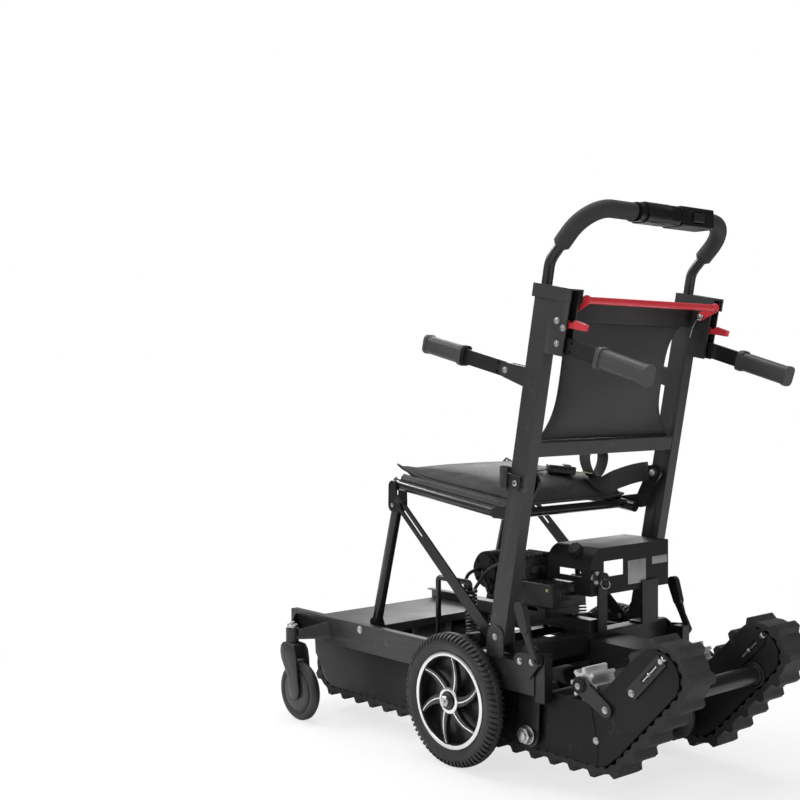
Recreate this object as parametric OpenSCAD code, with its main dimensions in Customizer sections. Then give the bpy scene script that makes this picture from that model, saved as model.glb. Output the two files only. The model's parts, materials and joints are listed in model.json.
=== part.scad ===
// Powered stair climbing wheelchair: crawler tracks under a low chassis, a folding seat and a tall backrest.
// X points forward, Y to the sitter's left and Z up. Working heights and lengths are taken from the rear
// axle and the floor, and the whole model is then moved so that its origin is midway along its base.

/* [Rear wheels] */
// Diameter of a rear wheel over the tyre
wheel_d = 250; // [240:1:256]
// Width of the tyre
wheel_w = 36; // [32:1:38]
// Distance from the mid-plane to a wheel's outer face
wheel_face = 257; // [257:1:266]
// Diameter of the tyre's bead seat
bead_d = 180; // [170:1:190]
// Diameter of the wheel axle
axle_d = 20; // [16:1:24]
// Number of curved spokes
spoke_count = 6; // [4:1:8]

/* [Casters] */
// Diameter of a caster wheel
caster_d = 125; // [118:1:126]
// Width of a caster wheel
caster_w = 24; // [20:1:26]
// Distance from the mid-plane to a caster
caster_y = 269; // [268:1:275]
// How far ahead of the rear axle a caster wheel stands
caster_x = 450; // [440:1:460]
// Trail from the swivel axis back to the caster's axle
caster_trail = 28; // [20:1:30]
// Diameter of the swivel stem
stem_d = 16; // [12:1:18]

/* [Chassis] */
// Distance from the mid-plane to a side rail's outer face
rail_out = 212; // [210:1:214]
// Thickness of the side rail sheet
rail_t = 3; // [2:0.5:4]
// Height of the side rail's top edge
rail_top = 216; // [214:1:218]
// Depth of the side rail
rail_h = 56; // [50:1:60]
// Front end of the side rails ahead of the axle
rail_front = 563; // [550:1:580]
// Rear end of the side rails behind the axle
rail_rear = 180; // [180:1:184]
// Width of the rail's top flange
flange_w = 17; // [14:1:18]
// Height of the footplate's tread
foot_top = 194; // [193:1:198]
// Rear edge of the footplate
foot_rear = 362; // [360:1:372]
// Height of the cross members
cross_h = 18; // [15:1:18]

/* [Tracks] */
// Distance from the mid-plane to the middle of a track
track_y = 141.5; // [139:0.5:142]
// Width of a track over its side plates
track_w = 69; // [64:1:70]
// Width of the rubber belt
belt_w = 65; // [60:1:66]
// Thickness of the belt without lugs
belt_t = 10; // [8:0.5:11]
// Height of a belt lug
lug_h = 10; // [7:0.5:10]
// Number of lugs round the belt
lug_count = 47; // [46:1:48]
// Lug pitches from the drive sprocket to the rear end of the belt
tail_lugs = 6; // [6:1:6]
// Height of the level run's middle line
track_z = 98; // [96:1:102]
// Radius of the belt's middle line round its idlers
loop_r = 50; // [48:1:51]
// Where the track bends upwards, behind the axle
bend_x = 300; // [295:1:305]
// Slope of the rear climbing section
incline = 46.5; // [44:0.5:48]
// Length of the rear climbing section
incline_len = 185; // [180:1:195]
// Radius at which the belt bends round the drive sprocket
sprocket_r = 41.5; // [41:0.5:44]
// Number of sprocket teeth
tooth_count = 8; // [8:4:12]
// Thickness of a track side plate
plate_t = 4; // [3:0.5:5]
// Radius of the ends of a track side plate
plate_r = 38.5; // [36:0.5:39]

/* [Fold] */
// Backrest pivot behind the axle
pivot_x = 89.4; // [85:0.1:92]
// Height of the backrest pivot
pivot_z = 253.5; // [252:0.5:256]
// Lean of the backrest from upright
lean = 10.86; // [10:0.01:12]
// Distance from the backrest pivot up to the seat pivot
seat_rise = 289.5; // [285:0.5:292]
// Seat hinge of the front legs ahead of the axle
knee_x = 247; // [243:1:250]
// Height of the hinge at the foot of the front legs
foot_z = 182.68; // [182:0.01:184]
// Slope of the seat
seat_tilt = 7; // [6:0.5:8]
// Distance from the mid-plane to a seat tube
seat_y = 166; // [164:0.5:166]
// Diameter of the seat tube
seat_d = 22; // [20:1:23]
// Diameter of a front leg
leg_d = 22; // [20:1:22]

/* [Backrest] */
// Distance from the mid-plane to the middle of a post
post_y = 203; // [203:0.5:204]
// Depth of a post
post_d = 40; // [36:1:42]
// Width of a post
post_w = 25; // [24:0.5:25]
// Wall of a post
post_wall = 2; // [1.5:0.25:2]
// Length of a post above its pivot
post_len = 645; // [640:1:650]
// Middle of the lower crossbar above the pivot, along the post
low_bar_s = 354; // [350:1:360]
// Middle of the upper crossbar below the top of the post
top_bar_drop = 35; // [31:1:39]
// Height of a crossbar
bar_h = 28; // [24:1:30]

/* [Push handle] */
// Diameter of the handle tube
tube_d = 20; // [18:0.5:20]
// Diameter of the foam grip
foam_d = 32; // [28:1:34]
// Length of straight tube above the posts before it bends back
handle_rise = 45; // [40:1:55]
// Handle bar behind the knee of its tube
handle_back = 87.47; // [84:0.01:92]
// Handle bar above the knee of its tube
handle_lift = 85.54; // [80:0.01:90]
// Bend radius of the handle's corners
handle_bend = 60; // [50:1:65]

/* [Grips] */
// Length of a hand grip
grip_len = 110; // [100:1:112]
// Height of a hand grip
grip_h = 34; // [30:1:36]
// Width of a hand grip
grip_w = 26; // [22:1:28]
// Length of a carry handle from its hinge to its grip
carry_len = 89; // [85:1:95]
// Droop of a carry handle
carry_droop = 17; // [15:1:20]
// Length of an armrest from its hinge to its grip
armrest_len = 118; // [112:1:125]
// Rise of an armrest
armrest_rise = 13.5; // [12:0.5:15]

/* [Clearances] */
// Running gap round a pin, on the radius
fit = 0.05; // [0.03:0.01:0.08]
// Gap between pieces that move past each other
gap = 0.5; // [0.4:0.1:0.8]
// Gap between a soft piece and what holds it
soft_gap = 0.3; // [0.2:0.05:0.4]

/* [Hidden] */
$fn = 48;

// Track loop: skeleton points in X and Z, and the belt's middle line as a chain of straights and arcs.
bend = [-bend_x, track_z];
tail = bend + incline_len * [-cos(incline), sin(incline)];
half_turn = tan(incline / 2);
corner_cut = (loop_r + sprocket_r) * half_turn;
sprocket = bend + [corner_cut, loop_r + sprocket_r];
upper_run = incline_len - corner_cut;
up_angle = 90 - incline;
mid_angle = 90 - incline / 2;
half_wrap = sprocket_r * incline / 2 * PI / 180;
lug_pitch = (half_wrap + upper_run + loop_r * (180 - up_angle) * PI / 180) / tail_lugs;
round_parts = 2 * half_wrap + upper_run + 2 * loop_r * PI + incline_len + loop_r * incline * PI / 180;
level_run = (lug_count * lug_pitch - round_parts + corner_cut) / 2;
front = [level_run - bend_x, track_z];
// Each run is [length, start or centre, radius (0 when straight, negative when hollow), angle of the normal].
runs = [
    [half_wrap, sprocket, -sprocket_r, mid_angle],
    [upper_run, sprocket - sprocket_r * unit(up_angle), 0, up_angle],
    [loop_r * PI, tail, loop_r, up_angle],
    [incline_len, tail + loop_r * unit(up_angle + 180), 0, up_angle + 180],
    [loop_r * incline * PI / 180, bend, loop_r, up_angle + 180],
    [level_run, bend + loop_r * unit(270), 0, 270],
    [loop_r * PI, front, loop_r, 270],
    [level_run - corner_cut, front + loop_r * unit(90), 0, 90],
    [half_wrap, sprocket, -sprocket_r, 90]];
belt_out = belt_t / 2;
belt_in = -belt_t / 2;
inner_tooth = 4;
tooth_tip_r = sprocket_r - belt_out - 6.5;
tooth_root_r = tooth_tip_r - 9;
lug_root = 22;
lug_tip = 10;
belt_rear = tail.x - loop_r - belt_out - lug_h;
origin_x = (rail_front + belt_rear) / 2;

function unit(a) = [cos(a), sin(a)];
function on_run(r, s) = r[2] == 0 ? [r[1] + s * unit(r[3] + 90), r[3]]
    : let (a = r[3] + s / r[2] * 180 / PI) [r[1] + r[2] * unit(a), a];
function station(s, i = 0) = s <= runs[i][0] || i == len(runs) - 1 ? on_run(runs[i], s)
    : station(s - runs[i][0], i + 1);
function belt_point(s, off) = let (total = lug_count * lug_pitch, p = station((s + total) % total))
    p[0] + off * unit(p[1]);

// Lateral stations, and heights along the post from its pivot
top_bar_s = post_len - top_bar_drop;
handle_s = post_len + handle_rise;
track_out = track_y + track_w / 2;
track_in = track_y - track_w / 2;
arm_t = 7;
arm_y0 = track_out + 3;
arm_y1 = arm_y0 + arm_t;
hanger_y0 = arm_y1 + 2;
hanger_t = 4;
rail_in = rail_out - rail_t;
wheel_mid = wheel_face - wheel_w / 2;
post_in = post_y - post_w / 2;
post_out = post_y + post_w / 2;
ear_t = 3;

// Fold linkage: backrest pivot, seat pivot, knee and foot of the legs form a parallelogram in X and Z.
pivot = [-pivot_x, pivot_z];
seat_pivot = pivot + seat_rise * [-sin(lean), cos(lean)];
knee = [knee_x, foot_z + seat_rise * cos(lean)];
foot = knee - (seat_pivot - pivot);
pivot_pin = 12;
seat_pin = 12;
leg_pin = 12;
leg_splay = [14.4, 32.5];
brace_pin = knee + [-31, 2];
brace_stop = [-50, 237];
brace_pin_d = 10;
brace_w = 24;
brace_t = 4;
knee_t = 3.5;
brace_y = seat_y + leg_d / 2 + gap + knee_t + 1 + brace_t / 2;
brace_slot = 85;
brace_lug_y = brace_y + brace_t / 2 + 1.5;

// Wheel arm: pivot on the hanger, axle and the horn that carries the spring strut.
arm_pivot = [-147, 82];
arm_pin = 20;
axle = [0, wheel_d / 2];
horn = [33, 222];
strut_top = [43, 322];
strut_y = track_out - 20;
spring_d = 27;
spring_wire = 4;
spring_turns = 11;

// Seat surface
seat_rear_x = -87;
seat_front_x = 276;
seat_rear_z = seat_pivot.y - 68.8;
cushion_rear = -80;
cushion_front = 287;
cushion_half = 171;
function tube_z(x) = seat_rear_z + (x - seat_rear_x) * tan(seat_tilt);
function cushion_floor(x) = tube_z(x) + seat_d / 2 + soft_gap;

// Places of small pieces
lever_pivot = [-192, 226];
lever_pin = 8;
caster_axle = 12;
stem = [caster_x + caster_trail, caster_y];
armrest_hinge = [70, post_len - 162];
carry_hinge = [-47, post_len - 94.6];
handle_pin = 8;
bar_t = 10;
latch_hinge = [-50, post_len - 60];
release_hinge = [-45, post_len - 35];
release_bar_at = [-73, post_len - 14];
handle_h = 7;
tail_wheel_at = [-268, 97];
tail_wheel_r = 46;
plate_y0 = seat_y + 6;
plate_y1 = plate_y0 + 6;
key_at = [-172, 35, 352];
knob_x = -128;
rocker_y = -74;

// Drawing helpers: profiles drawn in X and Z or in Y and Z, mirrored pairs, pins along Y and boxes by corners.
module xz(y0, y1) { translate([0, y1, 0]) rotate([90, 0, 0]) linear_extrude(y1 - y0) children(); }
module yz(x0, x1) { translate([x0, 0, 0]) rotate([90, 0, 90]) linear_extrude(x1 - x0) children(); }
module left() { children(); }
module right() { mirror([0, 1, 0]) children(); }
module pair() { left() children(); right() children(); }
module pin(p, d, y0, y1) { translate([p.x, y0, p.y]) rotate([-90, 0, 0]) cylinder(d = d, h = y1 - y0); }
module box(low, high) { translate(low) cube(high - low); }
module on_post() { translate([pivot.x, 0, pivot.y]) rotate([0, -lean, 0]) children(); }
module at(p) { translate(p) children(); }
module round_box(w, h, r) {
    square([w - 2 * r, h], center = true);
    square([w, h - 2 * r], center = true);
    for (x = [-1, 1], y = [-1, 1]) translate([x * (w / 2 - r), y * (h / 2 - r)]) circle(r);
}
// A flat link with round ends of radii r1 and r2 between two points
module link(p, q, r1, r2) {
    d = q - p;
    n = [-d.y, d.x] / norm(d);
    translate(p) circle(r1);
    translate(q) circle(r2);
    polygon([p + r1 * n, q + r2 * n, q - r2 * n, p - r1 * n]);
}
// A round rod from p to q
module rod(p, q, d) {
    v = q - p;
    translate(p) rotate([0, acos(v.z / norm(v)), atan2(v.y, v.x)]) cylinder(d = d, h = norm(v));
}
function cross_unit(a, b) = let (c = cross(a, b)) c / norm(c);
function dir(a, b) = (b - a) / norm(b - a);
// A path bent through points p: each inner point i becomes an arc of radius r[i] in bend_steps steps
bend_steps = 7;
function turn(p, i) = acos(dir(p[i - 1], p[i]) * dir(p[i], p[i + 1]));
function bend_arc(p, r, i) = let (u = dir(p[i - 1], p[i]), w = cross_unit(u, dir(p[i], p[i + 1])), s = cross(w, u),
    c = p[i] - r * tan(turn(p, i) / 2) * u + r * s)
    [for (k = [0 : bend_steps]) let (a = turn(p, i) * k / bend_steps) c + r * (sin(a) * u - cos(a) * s)];
function bent_path(p, r) = concat([p[0]], [for (i = [1 : len(p) - 2]) each bend_arc(p, r[i], i)], [p[len(p) - 1]]);
// A pipe of n sides along a path that lies square to up, hollow when bore is over 0
function pipe_ring(c, t, up, r, n) = let (a = cross_unit(up, t), b = cross(t, a))
    [for (j = [0 : n - 1]) c + r * (cos(360 * (j + 0.5) / n) * a + sin(360 * (j + 0.5) / n) * b)];
module pipe(p, d, bore, up, n = 16) {
    k = len(p);
    m = k * n;
    outer = [for (i = [0 : k - 1]) each pipe_ring(p[i], tangent(p, i), up, d / 2, n)];
    inner = [for (i = [0 : k - 1]) each pipe_ring(p[i], tangent(p, i), up, bore / 2 / cos(180 / n), n)];
    skin = [for (i = [0 : k - 2], j = [0 : n - 1]) let (a = i * n + j, b = i * n + (j + 1) % n)
        each [[a, a + n, b + n], [a, b + n, b]]];
    if (bore == 0) {
        lids = [for (j = [1 : n - 2]) each [[0, j, j + 1], [m - n, m - n + j + 1, m - n + j]]];
        polyhedron(outer, concat(skin, lids));
    } else {
        lining = [for (f = skin) [f[0] + m, f[2] + m, f[1] + m]];
        lids = [for (j = [0 : n - 1]) let (b = (j + 1) % n) each [[j, b, b + m], [j, b + m, j + m],
            [m - n + j, m - n + b + m, m - n + b], [m - n + j, m - n + j + m, m - n + b + m]]];
        polyhedron(concat(outer, inner), concat(skin, lining, lids));
    }
}
// One closed tube of n sides swept along points, each ring square to the path; up is one vector or one a point
function tangent(p, i) = dir(p[max(i - 1, 0)], p[min(i + 1, len(p) - 1)]);
module sweep(p, n, w, h, up) {
    k = len(p);
    rings = [for (i = [0 : k - 1]) let (t = tangent(p, i), a = cross_unit(is_list(up[0]) ? up[i] : up, t), b = cross(t, a))
        for (j = [0 : n - 1]) p[i] + w / 2 * cos(360 * (j + 0.5) / n) * a + h / 2 * sin(360 * (j + 0.5) / n) * b];
    sides = [for (i = [0 : k - 2], j = [0 : n - 1]) let (a = i * n + j, b = i * n + (j + 1) % n)
        each [[a, a + n, b + n], [a, b + n, b]]];
    ends = [for (j = [1 : n - 2]) each [[0, j, j + 1], [(k - 1) * n, (k - 1) * n + j + 1, (k - 1) * n + j]]];
    polyhedron(rings, concat(sides, ends));
}
// A closed pad from two equal grids of points, upper and lower, of m by n points
module pad(upper, lower, m, n) {
    k = m * n;
    rim = concat([for (j = [0 : n - 1]) j], [for (i = [1 : m - 1]) i * n + n - 1],
        [for (j = [n - 2 : -1 : 0]) (m - 1) * n + j], [for (i = [m - 2 : -1 : 1]) i * n]);
    top = [for (i = [0 : m - 2], j = [0 : n - 2]) let (a = i * n + j)
        each [[a, a + 1, a + n + 1], [a, a + n + 1, a + n]]];
    under = [for (f = top) [f[0] + k, f[2] + k, f[1] + k]];
    edge = [for (i = [0 : len(rim) - 1]) let (a = rim[i], b = rim[(i + 1) % len(rim)])
        each [[a, a + k, b + k], [a, b + k, b]]];
    polyhedron(concat(upper, lower), concat(top, under, edge));
}

// Chassis
leg_gap = leg_d / 2 + 1;
bracket_z = 170;
module side_rail() {
    notch_r = 36;
    bracket = [[-60, 0], [66, 0], [20, 50], [-20, 50]];
    difference() {
        box([-rail_rear, rail_in, rail_top - rail_h], [rail_front, rail_out, rail_top]);
        pin([-10, rail_top - rail_h + 5], 2 * notch_r, rail_in - 1, rail_out + 1);
    }
    box([-rail_rear, rail_out - flange_w, rail_top - rail_t], [rail_front, rail_in, rail_top]);
    // Leg hinge pin with its retaining collar
    pin(foot, leg_pin, seat_y - leg_gap - 4, rail_in);
    pin(foot, leg_pin + 8, seat_y - leg_gap - 4, seat_y - leg_gap);
    // Caster bracket
    difference() {
        union() {
            at([stem.x, rail_out, bracket_z]) linear_extrude(6)
                polygon([for (p = bracket) [p.x, min(p.y, 1) * (stem.y - rail_out)]]);
            at([stem.x, stem.y, bracket_z - 8]) cylinder(d = stem_d + 12, h = 30);
        }
        at([stem.x, stem.y, bracket_z - 9]) cylinder(d = stem_d + 2 * fit, h = 32);
    }
    // Clevis that carries the backrest post, with its pivot bolt
    ear_r = post_d / 2 + 1;
    for (y = [post_in - gap - ear_t, post_out + gap])
        xz(y, y + ear_t) {
            translate(pivot) circle(ear_r);
            translate([pivot.x - ear_r, rail_top]) square([2 * ear_r, pivot.y - rail_top]);
        }
    box([pivot.x - ear_r, post_in - gap - ear_t, rail_top], [pivot.x + ear_r, post_out + gap + ear_t, rail_top + 4]);
    pin(pivot, pivot_pin, post_in - gap - ear_t, post_out + gap + ear_t);
    // Lug for the pin that the brace hooks over
    y0 = brace_lug_y;
    xz(y0, y0 + 4) translate([brace_stop.x, rail_top]) {
        translate([0, brace_stop.y - rail_top]) circle(12);
        translate([-12, 0]) square([24, brace_stop.y - rail_top]);
    }
    box([brace_stop.x - 12, y0, rail_top], [brace_stop.x + 12, rail_out, rail_top + 3]);
}
module side_rails() { color("#26282a") pair() side_rail(); }

module footplate() {
    lip = 16;
    color("#303234") {
        box([foot_rear, -rail_in, foot_top - 4], [rail_front - 8, rail_in, foot_top]);
        for (x = [foot_rear, rail_front - 11])
            box([x, -rail_in, foot_top - lip], [x + 3, rail_in, foot_top - 4]);
        for (y = [-120 : 60 : 120]) box([foot_rear + 20, y - 2, foot_top], [rail_front - 30, y + 2, foot_top + 1.5]);
    }
}

cross_z = 172;
cross_w = 25;
cross_at = [-85, 130, 375];
beam_x = [-165, -135];
beam_z = [212, 248];
spine_y = [20, 44];
spine_h = 24;
spine_front = cross_at[1] + cross_w;
tail_tube = [-420, 193];
tail_tube_d = 32;
module cross_members() {
    color("#1d1f21") {
        for (x = cross_at) {
            box([x, -rail_in, cross_z], [x + cross_w, rail_in, cross_z + cross_h]);
            pair() box([x, track_in - 5, track_z - 12], [x + cross_w, track_in, cross_z]);
        }
        box([beam_x[0], -hanger_y0, beam_z[0]], [beam_x[1], hanger_y0, beam_z[1]]);
        // Spine that carries the battery, from the rear beam to the middle cross member
        box([beam_x[0], spine_y[0], beam_z[1]], [spine_front, spine_y[1], beam_z[1] + spine_h]);
        box([cross_at[1], spine_y[0], cross_z + cross_h], [spine_front, spine_y[1], beam_z[1]]);
        pin(tail_tube, tail_tube_d, -track_in, track_in);
        pair() pin(tail_tube, tail_tube_d + 14, track_in - 6, track_in);
    }
}

kidney = [[-150, 219], [-180, 222], [-166, 200]];
module hanger_plate() {
    y1 = hanger_y0 + hanger_t;
    xz(hanger_y0, y1) {
        link(arm_pivot, [-153, 222], 24, 26);
    }
    box([-179, y1, 196], [-127, rail_in, rail_top - rail_t - 3]);
    // Upright bar behind the plate
    box([-203, hanger_y0, 150], [-rail_rear, rail_in, 236]);
    pin(arm_pivot, arm_pin, arm_y0 - 2, hanger_y0);
    translate([arm_pivot.x, y1, arm_pivot.y]) rotate([-90, 0, 0]) cylinder(d = 36, h = 4);
    translate([arm_pivot.x, y1 + 4, arm_pivot.y]) rotate([-90, 0, 0]) cylinder(d = 30, h = 10, $fn = 6);
    // Kidney-shaped lever base on the rail, with the lever's pivot
    xz(rail_out, rail_out + 5) {
        link(kidney[0], kidney[1], 15, 15);
        link(kidney[1], kidney[2], 15, 12);
        link(kidney[1], lever_pivot, 15, 10);
    }
    pin(lever_pivot, lever_pin, rail_out + 5, rail_out + 14);
}
module hanger_plates() { color("#232527") pair() hanger_plate(); }

// Tracks
module loop_shape(r) {
    for (p = [front, bend, tail]) translate(p) circle(r);
    translate([bend.x, bend.y - r]) square([level_run, 2 * r]);
    translate(bend) rotate(180 - incline) translate([0, -r]) square([incline_len, 2 * r]);
}
module on_incline(along, across) { translate(bend) rotate(180 - incline) translate([along, -across]) children(); }
idler_pin = 16;
adjuster = [94, 22];
module track_frame() {
    y0 = track_in;
    y1 = track_out;
    difference() {
        union() {
            xz(y1 - plate_t, y1) loop_shape(plate_r);
            xz(y0, y0 + plate_t) loop_shape(plate_r);
            for (y = [y0 - 5, y1]) xz(y, y + 5) on_incline(168, 14) square(adjuster, center = true);
        }
        for (p = [front, tail]) pin(p, idler_pin + 2 * fit, y0 - 6, y1 + 6);
        for (y = [y0 - 6, y1 + 3]) xz(y, y + 3) on_incline(178, 14) square([42, 7], center = true);
        xz(y1 - 1, y1 + 1) translate([-286, 144]) rotate(-101) translate([0, -0.6]) square([46, 1.2]);
    }
}
module track_frames() { color("#2b2d2f") pair() track_frame(); }

// Height of a lug: lower where the sprocket's teeth run over it
function lug_clear(s, h) = min([for (t = [-lug_tip / 2, 0, lug_tip / 2])
    norm(belt_point(s + t, belt_out + h) - sprocket)]) > tooth_tip_r + 0.8;
function lug_rise(s) = max([for (h = [0 : 0.5 : lug_h]) if (lug_clear(s, h)) h]);
module track_belt() {
    outer = [for (i = [0 : lug_count - 1]) let (s = i * lug_pitch, h = lug_rise(s))
        each [belt_point(s - lug_root / 2, belt_out), belt_point(s - lug_tip / 2, belt_out + h),
            belt_point(s + lug_tip / 2, belt_out + h), belt_point(s + lug_root / 2, belt_out),
            belt_point(s + lug_pitch / 2, belt_out)]];
    cogs = 2 * lug_count;
    cog = lug_pitch / 2;
    inner = [for (i = [0 : cogs - 1]) let (s = i * cog)
        each [belt_point(s - cog * 0.35, belt_in), belt_point(s - cog * 0.2, belt_in - inner_tooth),
            belt_point(s + cog * 0.2, belt_in - inner_tooth), belt_point(s + cog * 0.35, belt_in)]];
    xz(track_y - belt_w / 2, track_y + belt_w / 2)
        polygon(concat(outer, inner), [[for (i = [0 : len(outer) - 1]) i],
            [for (i = [0 : len(inner) - 1]) len(outer) + i]]);
}
module track_belts() { color("#17181a") pair() track_belt(); }

idler_r = loop_r + belt_in - inner_tooth - gap;
module idler(p) {
    difference() {
        pin(p, 2 * idler_r, track_in + plate_t + gap, track_out - plate_t - gap);
        for (y = [track_in, track_out - plate_t - 12]) pin(p, 2 * idler_r - 16, y, y + 16);
    }
    pin(p, idler_pin + 10, track_in + plate_t + gap, track_out - plate_t - gap);
}
module front_idlers() {
    color("#3a3c3e") {
        pair() idler(front);
        pin(front, idler_pin, -track_out - 1, track_out + 1);
    }
}
module tail_idlers() {
    color("#3a3c3e") pair() {
        idler(tail);
        pin(tail, idler_pin, track_in - 2, track_out + 2);
    }
}

// Drive: gearbox and motor between the tracks, one cross axle and two toothed sprockets
axle_r = 11;
sprocket_w = 60;
module drive_axle() {
    color("#c9cbcd") {
        pin(sprocket, 2 * axle_r, -track_out - 8, track_out + 8);
        pair() xz(track_y - sprocket_w / 2, track_y + sprocket_w / 2) translate(sprocket) {
            circle(tooth_root_r);
            for (i = [0 : tooth_count - 1]) rotate(270 - incline / 2 + (i + 0.5) * 360 / tooth_count)
                polygon([[0, -4.6], [tooth_tip_r - 1, -3.6], [tooth_tip_r, -2.6], [tooth_tip_r, 2.6],
                    [tooth_tip_r - 1, 3.6], [0, 4.6]]);
        }
    }
}
gearbox_half = 45;
gearbox_x = [-300, -165];
motor_d = 80;
motor_z = 125;
module drive_unit() {
    front_x = gearbox_x[1];
    color("#202224") {
        difference() {
            union() {
                xz(-gearbox_half, gearbox_half) {
                    translate([gearbox_x[0] + 20, 150]) square([front_x - gearbox_x[0] - 20, 86]);
                    translate(sprocket) circle(46);
                    translate([front_x - 60, motor_z - motor_d / 2]) square([60, 80]);
                }
                pair() pin(sprocket, 56, gearbox_half, gearbox_half + 12);
            }
            pin(sprocket, 2 * axle_r + 2 * fit, -gearbox_half - 20, gearbox_half + 20);
        }
        translate([front_x, 0, motor_z]) rotate([0, 90, 0]) cylinder(d = motor_d, h = 135);
        translate([front_x + 135, 0, motor_z]) rotate([0, 90, 0]) cylinder(d = 60, h = 14);
    }
}

// Brackets bolted to the chassis: axle supports, strut tops, battery bars and cover legs
battery_y = [3, 99];
battery_x = [-120, 30];
battery_z = [292, 339];
strut_cap = 5.5;
cap_lift = 6.5;
shoe_top = track_z - loop_r - belt_in + inner_tooth;
module brackets() {
    arm_end = bend + [-18, 60];
    color("#1b1d1f") {
        pair() difference() {
            xz(track_out, track_out + 6) link(sprocket, arm_end, 16, 13);
            pin(sprocket, 2 * axle_r + 2 * fit, track_out - 1, track_out + 10);
        }
        // Strut tops reach back from uprights on the middle cross member
        pair() {
            box([cross_at[1], strut_y - 8, cross_z + cross_h], [cross_at[1] + 8, strut_y + 8, strut_top.y + 14]);
            box([strut_top.x - 14, strut_y - 8, strut_top.y + 8], [cross_at[1], strut_y + 8, strut_top.y + 14]);
            along_spring() translate([0, 0, spring_span - strut_cap - cap_lift]) cylinder(d = spring_d + 2, h = strut_cap);
            along_spring() translate([0, 0, spring_span - cap_lift - 2]) cylinder(d = 14, h = cap_lift + 12);
        }
        // Shoes that the level belts run over, between the track plates
        pair() box([-bend_x, track_in + plate_t, shoe_top + gap],
            [front.x - loop_r, track_out - plate_t, shoe_top + gap + 9]);
        // Battery bars on the spine
        for (x = [battery_x[0] + 18, battery_x[1] - 38])
            box([x, battery_y[0], beam_z[1] + spine_h], [x + 20, battery_y[1], battery_z[0]]);
        // Cover legs
        for (y = [[5, 30], [-148, -100]]) {
            box([housing_x[0] - 4, y[0], beam_z[1]], [housing_x[0], y[1], housing_z[0] + 16]);
            box([housing_x[0], y[0], beam_z[1]], [beam_x[1] - 6, min(y[1], spine_y[0]), beam_z[1] + 4]);
        }
    }
}

module battery() {
    color("#151617") {
        yz(battery_x[0], battery_x[1]) translate([(battery_y[0] + battery_y[1]) / 2, (battery_z[0] + battery_z[1]) / 2])
            round_box(battery_y[1] - battery_y[0], battery_z[1] - battery_z[0], 4);
        box([battery_x[0] - 6, 30, 308], [battery_x[0], 74, 318]);
    }
}
module controller_box() {
    low = [-46, 8, battery_z[1]];
    high = [24, 94, battery_z[1] + 40];
    color("#3b3d40") {
        box(low, high);
        for (y = [low.y + 6 : 12 : high.y - 8]) box([low.x + 4, y, high.z], [high.x - 4, y + 4, high.z + 6]);
        for (y = [24, 48, 72]) box([low.x - 10, y - 7, low.z + 12], [low.x, y + 7, low.z + 26]);
    }
}
motor_at = [69, 345];
casing_d = 74;
module motor_unit() {
    color("#2a2c2e") {
        pin(motor_at, casing_d, 14, 84);
        pin(motor_at, casing_d - 12, 84, 92);
        for (a = [45 : 90 : 315]) pin(motor_at + 25 * unit(a), 7, 92, 96);
        // Saddle on the spine
        box([motor_at.x - 20, spine_y[0], beam_z[1] + spine_h], [motor_at.x + 20, spine_y[1], motor_at.y - 30]);
    }
}
cable_d = 7;
cable_routes = [
    [[60, 92.3, 345], [60, 103, 345], [50, 112, 338], [40, 114, 322], [34, 114, 308], [26, 112, 300], [16, 112, 312],
        [12, 112, 336], [10, 106, 362], [10, 94.3, 362]],
    [[80, 92.3, 345], [80, 106, 345], [88, 118, 336], [90, 124, 318], [82, 126, 304], [66, 127, 306], [48, 127, 326],
        [24, 126, 352], [-4, 116, 370], [-8, 105, 372], [-8, 94.3, 372]]];
module motor_cables() { color("#101112") for (r = cable_routes) sweep(r, 8, cable_d, cable_d, [0, 0, 1]); }

housing_x = [-170, -60];
housing_y = [-185, 47];
housing_z = [317, 406];
housing_r = 35;
housing_t = 3;
// The cover's section grown or shrunk by e, open below when e is under 0
module housing_outline(e) {
    y0 = housing_y[0] - e;
    y1 = housing_y[1] - housing_r;
    z0 = housing_z[0] + min(e, 0);
    z1 = housing_z[1] - housing_r;
    translate([y0, z0]) square([y1 - y0, housing_z[1] + e - z0]);
    translate([y1, z0]) square([housing_r + e, z1 - z0]);
    translate([y1, z1]) circle(housing_r + e);
}
module knob_line() {
    translate([knob_x, housing_y[1] - housing_r, housing_z[1] - housing_r]) rotate([-45, 0, 0]) children();
}
module housing() {
    t = housing_t;
    color("#222426") difference() {
        yz(housing_x[0], housing_x[1]) housing_outline(0);
        yz(housing_x[0] + t, housing_x[1] + 1) housing_outline(-t);
        box([housing_x[0] - 1, -49, 350], [housing_x[0] + t + 1, 10, 380]);
        box([-146, housing_y[1] - t - 1, 352], [-90, housing_y[1] + 1, 366]);
        // Room for the battery under the near side
        box([battery_x[0] - 8, 0, housing_z[0] - 1], [housing_x[1] + 1, housing_y[1] + 1, battery_z[1] + 2]);
        knob_line() translate([0, 0, housing_r - 8]) cylinder(d = 8 + 2 * fit, h = 10);
        translate([housing_x[0] - 1, key_at.y, key_at.z]) rotate([0, 90, 0]) cylinder(d = 18, h = t + 2);
    }
}
module key_switch() {
    color("#b9bcc0") difference() {
        union() {
            translate([housing_x[0] - 4, key_at.y, key_at.z]) rotate([0, 90, 0]) cylinder(d = 24, h = 4);
            translate([housing_x[0], key_at.y, key_at.z]) rotate([0, 90, 0]) cylinder(d = 17.6, h = 22);
        }
        translate([housing_x[0] - 5, key_at.y, key_at.z]) rotate([0, 90, 0]) cylinder(d = 10 + 2 * fit, h = 16);
    }
}
module key() {
    x = housing_x[0];
    color("#8f9296") {
        translate([x - 10, key_at.y, key_at.z]) rotate([0, 90, 0]) cylinder(d = 10, h = 20);
        xz(key_at.y - 2, key_at.y + 2) translate([x - 20, key_at.z]) difference() {
            round_box(24, 24, 8);
            translate([-5, 0]) circle(3.5);
        }
    }
}
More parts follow.
